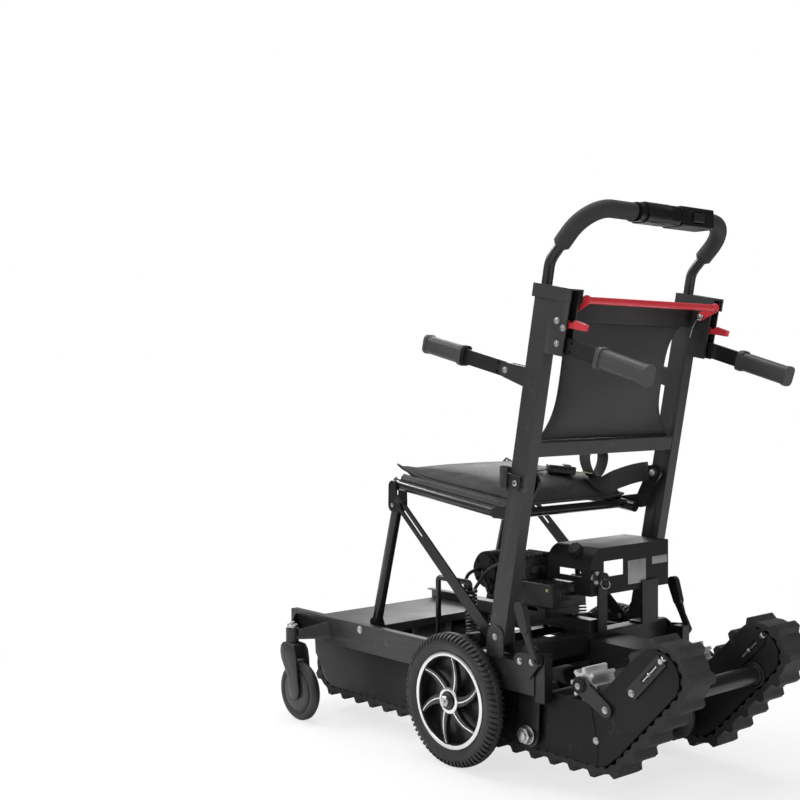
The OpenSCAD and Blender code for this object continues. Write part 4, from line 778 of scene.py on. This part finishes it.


# Springs: close wound black wire between each arm's horn and the bracket over it.
# The coil is drawn as it stands at rest, its upper end at the bracket and its lower end at the arm.
# A bent stay on the cross member holds each upper seat.
def bent(points, radius, steps=12):
    """Straight runs joined by one round bend at each inner point."""
    path = [points[0]]
    for a, b, c in zip(points, points[1:], points[2:]):
        back = (a - b).normalized()
        ahead = (c - b).normalized()
        half = back.angle(ahead) / 2
        reach = radius / math.tan(half)
        centre = b + (back + ahead).normalized() * (radius / math.sin(half))
        start = (b + back * reach - centre).normalized()
        end = (b + ahead * reach - centre).normalized()
        path += [centre + start.slerp(end, t) * radius for t in shares(steps)]
    return path + [points[-1]]


spring_foot = Vector((33, 222))
spring_line = Vector((10, 100)).normalized()
spring_out = Vector((spring_line.y, -spring_line.x))
spring_y = 156
coil_low, coil_high, coil_r = 14.3, 86.2, 11.5
turns, turn_steps = 11, 20


def on_spring(along, hand, out=0.0, across=0.0):
    """A point of a spring: along its middle line from the foot, and out from that line."""
    x, z = spring_foot + spring_line * along + spring_out * out
    return place(x, (spring_y + across) * hand, z)


def chamfered(r, corners, length, drop=0.8):
    """The outline along a short turned bar that is thinner by drop at both ends, in millimetres."""
    def section(s):
        at_end = s < 0.0001 or s > (length - 0.1) / 1000
        return ring_of((r - drop * at_end) / 1000, corners)

    return section


for side, hand in SIDES:
    coil = []
    for t in shares(turns * turn_steps):
        turn = 2 * math.pi * turns * t
        along = coil_low + (coil_high - coil_low) * t
        coil.append(on_spring(along, hand, coil_r * math.cos(turn), coil_r * math.sin(turn)))
    spring = round_bar("coil_spring_" + side, coil, 0.002, 8, black_coat)
    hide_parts("spring_" + side)
    tuple(on_spring(coil_high, hand))
    tuple(on_spring(coil_low, hand))
    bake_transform(spring)
    seat_path = [on_spring(along, hand) for along in (88.5, 89, 93.5, 94)]
    attach(sweep("spring_seat_" + side, seat_path, chamfered(14.5, 32, 5.5, 0.5), black_coat), "brackets")
    seat_top = on_spring(92, hand)
    bend_x = (spring_foot + spring_line * 92).x + 1.4
    stay_path = bent([seat_top, place(bend_x, spring_y * hand, 330), place(134, spring_y * hand, 330),
                      place(134, spring_y * hand, 190)], 0.007, 8)
    attach(round_bar("spring_stay_" + side, stay_path, 0.0055, 16, black_coat), "brackets")

# Casters and the small tail wheels: solid rubber on black centres, in moulded forks with curved arms.
# Each fork turns on a bearing in its outrigger, a folded channel on the rail, under a bright lock nut.
swivel_x = 478
caster_x, caster_y, caster_z = 450, 269, 62.5
fork_arm = [(-24, 160), (-8, 161.3), (12, 161), (19, 154), (21, 142), (17, 126), (7, 110), (-3, 95), (-8, 80),
            (-9.5, 62), (-15, 49.5), (-28, 44), (-41, 49.5), (-46.5, 62), (-44.5, 80), (-41, 98), (-39, 116),
            (-37, 134), (-33, 150)]
fork_rib = [(0, 152), (8, 146), (10, 138), (7, 126), (-2, 112), (-11, 97), (-16, 80), (-17, 66), (-20, 66),
            (-19.5, 81), (-15, 99), (-6, 114), (3, 128), (5.4, 138), (3, 144), (-3, 148)]
arm_outline = [(swivel_x + x, z) for x, z in fork_arm]
rib_outline = [(swivel_x + x, z) for x, z in fork_rib]
disc_profile = [(19.4, 7.6), (43, 7.6), (43.6, 9), (42, 10.4), (36, 11.2), (24, 11.6), (19.4, 11.4)]
fork_plastic = finish("fork_plastic", (0.011, 0.011, 0.0115), (0.018, 0.018, 0.019), (0.3, 0.42), grain=500,
                      depth=0.00012)
for side, hand in SIDES:
    fork = "caster_fork_" + side
    axle = (caster_x, caster_y * hand, caster_z)
    for face, y0, y1, rib_y in (("outer", 282.4, 287.3, 286.6), ("inner", 255.6, 250.7, 251.4)):
        arm = sheet_metal("fork_arm_%s_%s" % (face, side), (arm_outline,), y0 * hand, y1 * hand, fork_plastic,
                          2.0)
        attach(arm, fork, instead=face == "outer")
        rib = sheet_metal("fork_rib_%s_%s" % (face, side), (rib_outline,), (rib_y - 1) * hand,
                          (rib_y + 0.9) * hand, fork_plastic, 0.5)
        attach(rib, fork)
    crown = block("fork_crown_" + side, (0.041, 0.034, 0.034), place(475, caster_y * hand, 144.6), FORWARD,
                  fork_plastic, 0.005)
    attach(crown, fork)
    attach(lathe("caster_axle_" + side, [(0.05, -17), (6, -17), (6, 17), (0.05, 17)], axle, zinc, 24), fork)
    for name, low, high, r, corners in (
            ("stem", 161, 193, 8, 32), ("lock_nut", 192.6, 200, 12.5, 6), ("stud", 200, 206, 5, 20)):
        bar_path = [place(swivel_x, caster_y * hand, z) for z in (low, low + 1, high - 1, high)]
        outline = chamfered(r, corners, high - low)
        attach(sweep("fork_%s_%s" % (name, side), bar_path, outline, zinc), fork)
    for name, foot_x, tip_x in (("rear", 419, 459), ("front", 543, 497)):
        bm = loft([[place(x + shift, y * hand, z) for shift, z in ((0, 172), (0, top), (3, top), (3, 172))]
                   for x, y, top in ((foot_x, 212.2, 208), (tip_x, 266, 190))])
        bmesh.ops.bevel(bm, geom=bm.edges, offset=0.0006, segments=2, affect="EDGES", profile=0.5)
        attach(mesh_object("outrigger_%s_%s" % (name, side), bm, black_coat), "side_rails")
    eased("caster_wheel_" + side, 0.8, tyre_rubber)
    for name, face in (("outer", 1), ("inner", -1)):
        centre = lathe("caster_disc_%s_%s" % (name, side), [(r, w * face) for r, w in disc_profile], axle,
                       fork_plastic, 72)
        attach(centre, "caster_wheel_" + side)
eased("tail_wheels", 0.8, tyre_rubber)

# Backrest: two box section posts with crossbars welded between them.
# Folded caps and cheek plates at the top carry the handles, and the seat hangs on a bolt through each post.
hinge_x, hinge_z = -89.4, 253.5
rake_cos, rake_sin = 0.98209, 0.18842
seat_pivot = 289.5


def on_post(h, y, s):
    """A point of the backrest: h forward of the post's middle line, s up along it from the fold hinge."""
    return place(hinge_x + rake_cos * h - rake_sin * s, y, hinge_z + rake_sin * h + rake_cos * s)


# The posts, crossbars and handle brackets use a paler copy of the charcoal coat. The extra lightness is
# painted light, standing in for the light that falls on the backrest.
lit_post_coat = finish("lit_post_coat", (0.023, 0.0234, 0.0241), (0.032, 0.0325, 0.0334), (0.32, 0.44), rub=0.25)
eased("backrest_posts", 2.4, lit_post_coat)
eased("backrest_crossbars", 2.4, lit_post_coat)
eased("handle_brackets", 0.9, lit_post_coat)
dress("back_bolts", zinc)
bolts("bracket_bolts", [on_post(-47, 215.5, 550.4), on_post(-40, 215.5, 589.5), on_post(-56, 215.5, 578.7),
                        on_post(70, 213.5, 483)], "backrest")
bolts("seat_pivot_bolt", [on_post(0, 219.5, seat_pivot)], "backrest", 1.25)
bolts("seat_pivot_nut", [on_post(0, 167.5, seat_pivot)], "backrest", 1.1, facing=-1)

# Back sling: one sheet of coated cloth stretched between the crossbars, waisted and dished by the sitter.
# Its side hems are turned and sewn with two rows of thread, and its ends are folded over the bars.
weave_group, weave_in, weave_out = value_group("weave", [("Threads", 1400.0)], ["Height"])
weave_uv = add_node(weave_group, "ShaderNodeTexCoord")
weave_sum = add_node(weave_group, "ShaderNodeMath", operation="ADD")
for number, direction in enumerate(("X", "Y")):
    wave = add_node(weave_group, "ShaderNodeTexWave", bands_direction=direction)
    join(weave_group, (weave_uv, "UV", wave, "Vector"), (weave_in, "Threads", wave, "Scale"),
         (wave, "Fac", weave_sum, number))
join(weave_group, (weave_sum, 0, weave_out, "Height"))


def weave(threads):
    return lambda tree: add_node(tree, "ShaderNodeGroup", {"Threads": threads}, node_tree=weave_group)


sling_cloth = finish("sling_cloth", (0.029, 0.029, 0.0295), (0.042, 0.042, 0.043), (0.42, 0.56), grain=260,
                     depth=0.0005, drift=7, relief=weave(260))


def sling_point(u, v, proud=0.0):
    waist = 42 * (1 - abs(2 * v - 1) ** 3)
    dish = 8 + 22 * (1 - u * u) - 12 * abs(u) ** 12
    return on_post(-6 - dish * math.sin(math.pi * v) + proud, (187.5 - waist) * u, 368.3 + 229.4 * v)


def skins(low, top):
    """The faces of a closed sheet between two grids of corners, each with its spots in the grid."""
    rows = len(low) - 1
    cols = len(low[0]) - 1
    for grid in (low, top):
        for j in range(rows):
            for i in range(cols):
                spots = ((i, j), (i + 1, j), (i + 1, j + 1), (i, j + 1))
                yield [grid[v][u] for u, v in spots], spots
    rim = [(i, 0) for i in range(cols)] + [(cols, j) for j in range(rows)]
    rim += [(i, rows) for i in range(cols, 0, -1)] + [(0, j) for j in range(rows, 0, -1)]
    for (u, v), (p, q) in zip(rim, rim[1:] + rim[:1]):
        yield [low[v][u], top[v][u], top[q][p], low[q][p]], ((u, v),) * 4


cloth_half = 0.9
cols, lines = 48, 32
bm = bmesh.new()
uv = bm.loops.layers.uv.new("UVMap")
rear, front = [[[bm.verts.new(sling_point(2 * u - 1, v, proud)) for u in shares(cols)]
                for v in shares(lines)] for proud in (-cloth_half, cloth_half)]
for corners, spots in skins(rear, front):
    face = bm.faces.new(corners)
    face.smooth = True
    for loop, (u, v) in zip(face.loops, spots):
        loop[uv].uv = (0.375 * u / cols, 0.236 * v / lines)
bmesh.ops.recalc_face_normals(bm, faces=bm.faces)
sling = mesh_object("back_sling", bm, sling_cloth)
settle(sling, "backrest", "sling_fabric", "backrest_sling")

flap_line = [(7.2, 597), (7.4, 606), (7, 621), (5, 623.2), (-6, 623.6), (-15, 623.2), (-17.4, 621),
             (-18, 612), (-18.4, 604), (-18.8, 597), (-19, 590), (-19.2, 586)]
flap_path = smooth([on_post(h, 0, s) for h, s in flap_line], 4)
flap_faces = [Vector((0, 1, 0)).cross(b - a) for a, b in zip(flap_path, flap_path[1:])] + [-FORWARD]
flap_half = 0.187
flap_section = [(-flap_half, -0.0009), (flap_half, -0.0009), (flap_half, 0.0009), (-flap_half, 0.0009)]
flap = sweep("sling_flap", flap_path, lambda s: flap_section, sling_cloth, flap_faces)
settle(flap, "backrest", "sling_fabric")
run_length(flap_path)

stitch_group, stitch_given, stitch_copies = new_tree("stitches_on_line", (
    ("Line", "Geometry"), ("Pitch", "Float"), ("Size", "Vector"), ("Slant", "Float"), ("Finish", "Material")))
stitch_curve = add_node(stitch_group, "GeometryNodeMeshToCurve")
stitch_spots = add_node(stitch_group, "GeometryNodeCurveToPoints", mode="LENGTH")
stitch_shape = add_node(stitch_group, "GeometryNodeMeshUVSphere", {"Segments": 6, "Rings": 4, "Radius": 0.5})
stitch_lean = add_node(stitch_group, "ShaderNodeCombineXYZ")
stitch_euler = add_node(stitch_group, "FunctionNodeEulerToRotation")
stitch_turn = add_node(stitch_group, "FunctionNodeRotateRotation", rotation_space="LOCAL")
join(stitch_group, (stitch_given, "Line", stitch_curve, "Mesh"), (stitch_curve, 0, stitch_spots, "Curve"),
     (stitch_given, "Pitch", stitch_spots, "Length"), (stitch_spots, "Points", stitch_copies, "Points"),
     (stitch_shape, "Mesh", stitch_copies, "Instance"), (stitch_given, "Slant", stitch_lean, "X"),
     (stitch_lean, 0, stitch_euler, 0), (stitch_spots, "Rotation", stitch_turn, "Rotation"),
     (stitch_euler, 0, stitch_turn, "Rotate By"), (stitch_turn, 0, stitch_copies, "Rotation"),
     (stitch_given, "Size", stitch_copies, "Scale"))
thread = finish("thread", (0.03, 0.03, 0.031), (0.05, 0.05, 0.052), (0.5, 0.65), grain=2000, depth=0.00005)


def stitches(name, lines, body, slot, pitch=0.005, size=(0.0009, 0.0007, 0.0036), slant=0.0):
    """Rows of sewn thread along lines of points."""
    points, edges = [], []
    for line in lines:
        edges += [(len(points) + i, len(points) + i + 1) for i in range(len(line) - 1)]
        points += line
    ob = line_object(name, points, edges)
    run_tree(ob, stitch_group, Pitch=pitch, Size=size, Slant=slant, Finish=thread)
    settle(ob, body, slot)


thread_proud = (-1.15, 1.15)
stitches("sling_thread", [[sling_point(u, 0.02 + 0.96 * t, proud) for t in shares(40)]
                          for u in (-0.965, -0.925, 0.925, 0.965) for proud in thread_proud],
         "backrest", "sling_fabric")
stitches("sling_cross_thread", [[sling_point(-0.94 + 1.88 * t, v, proud) for t in shares(60)]
                                for v in (0.035, 0.055, 0.945, 0.965) for proud in thread_proud],
         "backrest", "sling_fabric")
stitches("flap_thread", [[on_post(-20.2, -184 + 368 * t, s) for t in shares(40)] for s in (589, 593)],
         "backrest", "sling_fabric")


# Push handle: a bent tube that slides in the posts, with thick foam pulled over its bends.
# The control unit between the foam grips is a glossy moulding with a rocker on its rear face.
def dense(path, step):
    """The path with more points on its straight runs."""
    out = [path[0]]
    for a, b in zip(path, path[1:]):
        parts = max(1, round((b - a).length / step))
        out += [a.lerp(b, t) for t in shares(parts)[1:]]
    return out


def foam_section(length):
    """The outline along a foam grip, which is rounded over at both ends."""
    def section(s):
        near_end = min(s, length - s)
        return ring_of(0.016 - 0.0035 * max(0.0, 1 - near_end / 0.005) ** 2, 32)

    return section


handle_foam = finish("handle_foam", (0.018, 0.018, 0.019), (0.03, 0.03, 0.031), (0.7, 0.85), grain=800,
                     depth=0.0003)
gloss_black = finish("gloss_black", (0.006, 0.006, 0.0065), (0.009, 0.009, 0.0095), (0.2, 0.3), depth=0.00001)
for side, tube_y, end_y in (("left", 203, 82.4), ("right", -203, -121.4)):
    corners = [place(-236.8, tube_y, 956.2), place(-300, tube_y, 1018), place(-300, end_y, 1018)]
    foam_path = dense(bent(corners, 0.06), 0.004)
    foam = sweep("foam_grip_" + side, foam_path, foam_section(run_length(foam_path)), handle_foam)
    settle(foam, "handle", "foam", "handle_foam")
eased("handle_tube", 0.5, black_coat)
eased("control_unit", 1.2, gloss_black)
eased("drive_rocker", 0.8, knob_plastic)

# Carry handles and armrests: flat black bars with moulded rubber grips.
# The bars fold on pins in the cheek plates; the grips are pushed on and have a flange at each end.
grip_rubber = finish("grip_rubber", (0.036, 0.036, 0.038), (0.052, 0.052, 0.054), (0.42, 0.56), grain=700,
                     depth=0.0002)
for kind in ("carry", "armrest"):
    for side, _ in SIDES:
        eased(kind + "_bar_" + side, 0.9, black_coat)
        eased(kind + "_grip_" + side, 2.6, grip_rubber)

# Red release bar and thumb latches: glossy red paint on steel and moulded red plastic.
# The bar hangs on two cranks behind the top crossbar, and a wire spring on a bolt pulls each crank back.
red_gloss = finish("red_gloss", (0.58, 0.03, 0.045), (0.7, 0.05, 0.065), (0.2, 0.32), depth=0.00003)
release_wire = ((-52, 179.6, 614), (-49, 178.6, 604), (-42, 178.6, 603), (-36, 180, 596), (-29, 184, 580),
                (-24, 188.6, 566))
eased("release_bar", 0.9, red_gloss)
bolts("release_bolt", [on_post(-45, 181.6, 610)], "backrest", 0.9, facing=-1)
for side, hand in SIDES:
    eased("latch_" + side, 1.0, red_gloss)
    wire_path = smooth([on_post(h, y * hand, s) for h, y, s in release_wire], 6)
    settle(round_bar("release_spring_" + side, wire_path, 0.0011, 8, zinc), "backrest", "zinc")

# Seat frame: one looped tube with pivot plates at the back and knee brackets at the front.
# The legs and the slotted braces fold under it.
tube_coat = finish("tube_coat", (0.009, 0.009, 0.0095), (0.014, 0.014, 0.015), (0.16, 0.26), depth=0.00004,
                   rub=0.15)
eased("seat_frame", 0.6, tube_coat)
eased("front_legs", 0.8, tube_coat)
eased("braces", 0.5, black_coat)
bolts("knee_bolt", [place(247, 181, 467)], "seat", 0.66)

# Seat cushion: a thin foam pad in coated cloth that lies between the seat tubes, swollen by its filling.
# Its edge is piped, its front corners stand up a little, and a hem under it is laced down to the tubes.
cushion_cloth = finish("cushion_cloth", (0.011, 0.011, 0.0115), (0.02, 0.02, 0.021), (0.46, 0.62), grain=240,
                       depth=0.0005, drift=8, relief=weave(300))
pad_middle = 88
pad_reach = 168
pad_half = 160
pad_rear, pad_front = -80, 259
fullness = 0.86
swell = 0.007
swell_frames = 20


def cushion_floor(x):
    return 480.3 + 0.1228 * (x + 87)


def cushion_plan(u, v):
    return pad_middle + pad_reach * (u - 0.02 * u * (1 - v * v)), (pad_half - 4 * (1 - u * u)) * v


def corner_lift(u, v):
    """How far the thin front corners stand up."""
    return 16 * max(0.0, (u + v * v - 1.45) / 0.55) ** 1.6


def cushion_spot(u, v, rise):
    x, y = cushion_plan(u, v)
    return place(x, y, cushion_floor(x) + rise)


def cushion_rise(u, v):
    """How far the foam stands over the seat: full in the middle and thin towards its edges."""
    edge = (1 - abs(u) ** 6) * (1 - abs(v) ** 6)
    return 6 + 8 * abs(v) ** 8 + fullness * ((30 - 12 * u) * edge ** 0.6 + 6 * (1 - u * u) * (1 - v * v))


bm = bmesh.new()
spots = [[(i / 20 - 1, j / 20 - 1) for i in range(41)] for j in range(41)]
top = [[bm.verts.new(cushion_spot(u, v, cushion_rise(u, v))) for u, v in row] for row in spots]
low = [[bm.verts.new(cushion_spot(u, v, 0.6 + 9 * abs(v) ** 8)) for u, v in row] for row in spots]
for corners, _ in skins(low, top):
    bm.faces.new(corners)
bmesh.ops.recalc_face_normals(bm, faces=bm.faces)
cushion = mesh_object("seat_pad", bm, cushion_cloth)
tuned(cushion.modifiers.new("cover", "REMESH"), mode="VOXEL", voxel_size=0.005)
apply_modifiers(cushion)
before = [v.co.copy() for v in cushion.data.vertices]
cover = cushion.modifiers.new("filling", "CLOTH")
tuned(cover.settings, quality=5, mass=0.3, tension_stiffness=25, compression_stiffness=25,
      shear_stiffness=12, bending_stiffness=2, use_pressure=True, uniform_pressure_force=4)
cover.settings.effector_weights.gravity = 0
tuned(cover.point_cache, frame_start=1, frame_end=swell_frames)
for step in range(1, swell_frames + 1):
    scene.frame_set(step)
apply_modifiers(cushion)
scene.frame_set(1)
for vert, old in zip(cushion.data.vertices, before):
    move = vert.co - old
    if move.length > swell:
        vert.co = old + move * (swell / move.length)
tuned(cushion.modifiers.new("finer", "SUBSURF"), levels=1, render_levels=1)
apply_modifiers(cushion)
pad_uv = cushion.data.uv_layers.new(name="UVMap")
for vert in cushion.data.vertices:
    x = (vert.co.x + ORIGIN_X) * 1000
    y = vert.co.y * 1000
    u = max(-1.0, min(1.0, (x - pad_middle) / pad_reach))
    v = max(-1.0, min(1.0, y / pad_half))
    vert.co.x = min(max(vert.co.x, place(pad_rear, 0, 0).x), place(pad_front, 0, 0).x)
    vert.co.y = min(max(vert.co.y, -(pad_half + 2) / 1000), (pad_half + 2) / 1000)
    vert.co.z = max(vert.co.z, (cushion_floor(x) + 0.4) / 1000) + corner_lift(u, v) / 1000
for loop in cushion.data.loops:
    spot = cushion.data.vertices[loop.vertex_index].co
    pad_uv.data[loop.index].uv = (spot.x, spot.y)
for face in cushion.data.polygons:
    face.use_smooth = True
settle(cushion, "seat", "cushion_fabric", "seat_cushion")

edge_line = []
pad_corners = [(-1, -1), (1, -1), (1, 1), (-1, 1)]
for a, b in zip(pad_corners, pad_corners[1:] + pad_corners[:1]):
    for t in shares(40)[:-1]:
        u = a[0] + (b[0] - a[0]) * t
        v = a[1] + (b[1] - a[1]) * t
        edge_line.append(cushion_spot(0.992 * u, 0.99 * v, 6.2 + 5 * abs(v) ** 8 + corner_lift(u, v)))
edge_line.append(edge_line[0].copy())
settle(round_bar("seat_piping", edge_line, 0.0024, 8, cushion_cloth), "seat", "cushion_fabric")


def band(half, thick=0.0022):
    """The outline of webbing: flat, with round selvedges."""
    lower = [(-half, -0.3 * thick), (-half + 0.0008, -0.5 * thick), (half - 0.0008, -0.5 * thick),
             (half, -0.3 * thick)]
    return lower + [(-a, -b) for a, b in lower]


hem_cloth = finish("hem_cloth", (0.008, 0.008, 0.0085), (0.014, 0.014, 0.0145), (0.5, 0.66), grain=400,
                   depth=0.0003)
hem_line = [-66 + 304 * t for t in shares(60)]
lace_pitch = 0.0088
lace_size = (0.0012, 0.0010, 0.0072)
for side, hand in SIDES:
    hem_path = [place(x, 161.5 * hand, cushion_floor(x) + 5.2) for x in hem_line]
    hem_out = Vector((0, 0.8 * hand, 0.6))
    hem = sweep("seat_hem_" + side, hem_path, lambda s: band(0.007), hem_cloth, [hem_out] * len(hem_path))
    settle(hem, "seat", "cushion_fabric")
    for row, slant, shift in (("rising", 0.7, 0.0022), ("falling", -0.7, -0.0022)):
        lacing = [p + hem_out * 0.0013 + FORWARD * shift for p in hem_path]
        stitches("hem_lacing_%s_%s" % (row, side), [lacing], "seat", "cushion_fabric", lace_pitch, lace_size,
                 slant)

# Lap belt: two lengths of webbing. The near one is bolted to the outer face of its post and comes round the
# front of it, the far one is bolted inside its post, and its slack stands in a loop behind the tongue.
webbing = finish("webbing", (0.007, 0.007, 0.0075), (0.013, 0.013, 0.0135), (0.5, 0.68), grain=900,
                 depth=0.0002, relief=weave(700))
buckle_black = finish("buckle_black", (0.008, 0.008, 0.0085), (0.012, 0.012, 0.0125), (0.22, 0.34), grain=500)
tongue_steel = finish("tongue_steel", (0.5, 0.46, 0.32), (0.66, 0.62, 0.46), (0.26, 0.4), metal=1.0,
                      grain=300)
pad_tree = BVHTree.FromPolygons([v.co for v in cushion.data.vertices],
                                [f.vertices for f in cushion.data.polygons])


def on_pad(x, y, lift):
    """A point over the seat pad's swollen cover."""
    above = place(x, y, 700)
    tops = [pad_tree.ray_cast(above + Vector((i, j, 0)), -UP)[0]
            for i in (-0.012, 0, 0.012) for j in (-0.012, 0, 0.012)]
    height = max([t.z for t in tops if t] or [cushion_floor(x) / 1000])
    return Vector((above.x, above.y, height + lift / 1000))


def strap(name, points, faces, width=0.038):
    """Webbing laid through points, with the direction that its face has at each of them."""
    path = smooth(points)
    ob = sweep(name, path, lambda s: band(width / 2), webbing, smooth(faces))
    settle(ob, "seat", "webbing", "seat_belt")
    run_length(path)
    return ob


near_end = [place(-128, 225.2, 546), place(-114, 225, 547)]
near_strap = strap("belt_near", near_end + [
    place(-104, 219, 548), place(-99, 204, 547), place(-92, 180, 543), on_pad(-66, 140, 6),
    on_pad(-24, 98, 2), on_pad(4, 45, 2), on_pad(2, 8, 4), on_pad(-4, -6, 6)],
    [(0, 1, 0), (0.1, 1, 0), (0.8, 0.6, 0), (1, 0.15, 0.1), (0.8, 0, 0.5), (0.3, 0, 0.95)] + [(0, 0, 1)] * 4)
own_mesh(near_strap)
tongue_spot = on_pad(-60, -74, 3)
strap("belt_far", [
    place(-133, -170.2, 540), place(-118, -168, 538), place(-104, -150, 533), place(-90, -124, 524),
    place(-76, -98, 514), tongue_spot],
    [(0, 1, 0), (-0.2, 1, 0), (-0.7, 0.7, 0.1), (-0.75, 0.55, 0.3), (-0.6, 0.4, 0.6), (-0.3, 0.2, 0.9)])
loop_side = Vector((-0.647, -0.762, 0)) * 0.9 + Vector((0.762, -0.647, 0)) * 0.436
loop_path, loop_faces = [], []
for t in shares(40):
    turn = math.radians(8 + 344 * t)
    rise = 1 - math.cos(turn)
    wide = 0.027 * (0.55 + 0.225 * rise)
    loop_path.append(tongue_spot + loop_side * (0.012 - wide * math.sin(turn)) + UP * 0.031 * rise)
    loop_faces.append(-loop_side * math.sin(turn) - UP * math.cos(turn))
loop_width = 0.036
loop = sweep("belt_loop", loop_path, lambda s: band(loop_width / 2), webbing, loop_faces)
settle(loop, "seat", "webbing")
run_length(loop_path)
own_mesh(loop)

buckle_far = on_pad(-42, -53, 6)
buckle_near = on_pad(-6, -10, 6)
buckle_way = (buckle_near - buckle_far).normalized()
buckle_mid = (buckle_near + buckle_far) / 2 + UP * 0.003
button_spot = buckle_mid - buckle_way * 0.012 + UP * 0.0085
tongue_mid = buckle_mid - buckle_way * 0.038 - UP * 0.001
tab_way = Vector((0.98, 0, 0.2))
for name, size, spot, way, material, edge in (
        ("belt_buckle", (0.056, 0.042, 0.016), buckle_mid, buckle_way, buckle_black, 0.004),
        ("buckle_button", (0.014, 0.03, 0.004), button_spot, buckle_way, tread_coat, 0.001),
        ("belt_tongue", (0.046, 0.03, 0.0022), tongue_mid, buckle_way, tongue_steel, 0.0006),
        ("belt_tab", (0.046, 0.0034, 0.026), place(-132, 221.4, 541), tab_way, black_coat, 0.0012)):
    settle(block(name, size, spot, way, material, edge), "seat", "webbing")
near_faces = [Vector((0, 1, 0)), Vector((0.1, 1, 0)).normalized()]
stitches("belt_thread", [[p + face * 0.0014 + UP * rise for p, face in zip(near_end, near_faces)]
                         for rise in (-0.014, 0, 0.014)], "seat", "webbing")
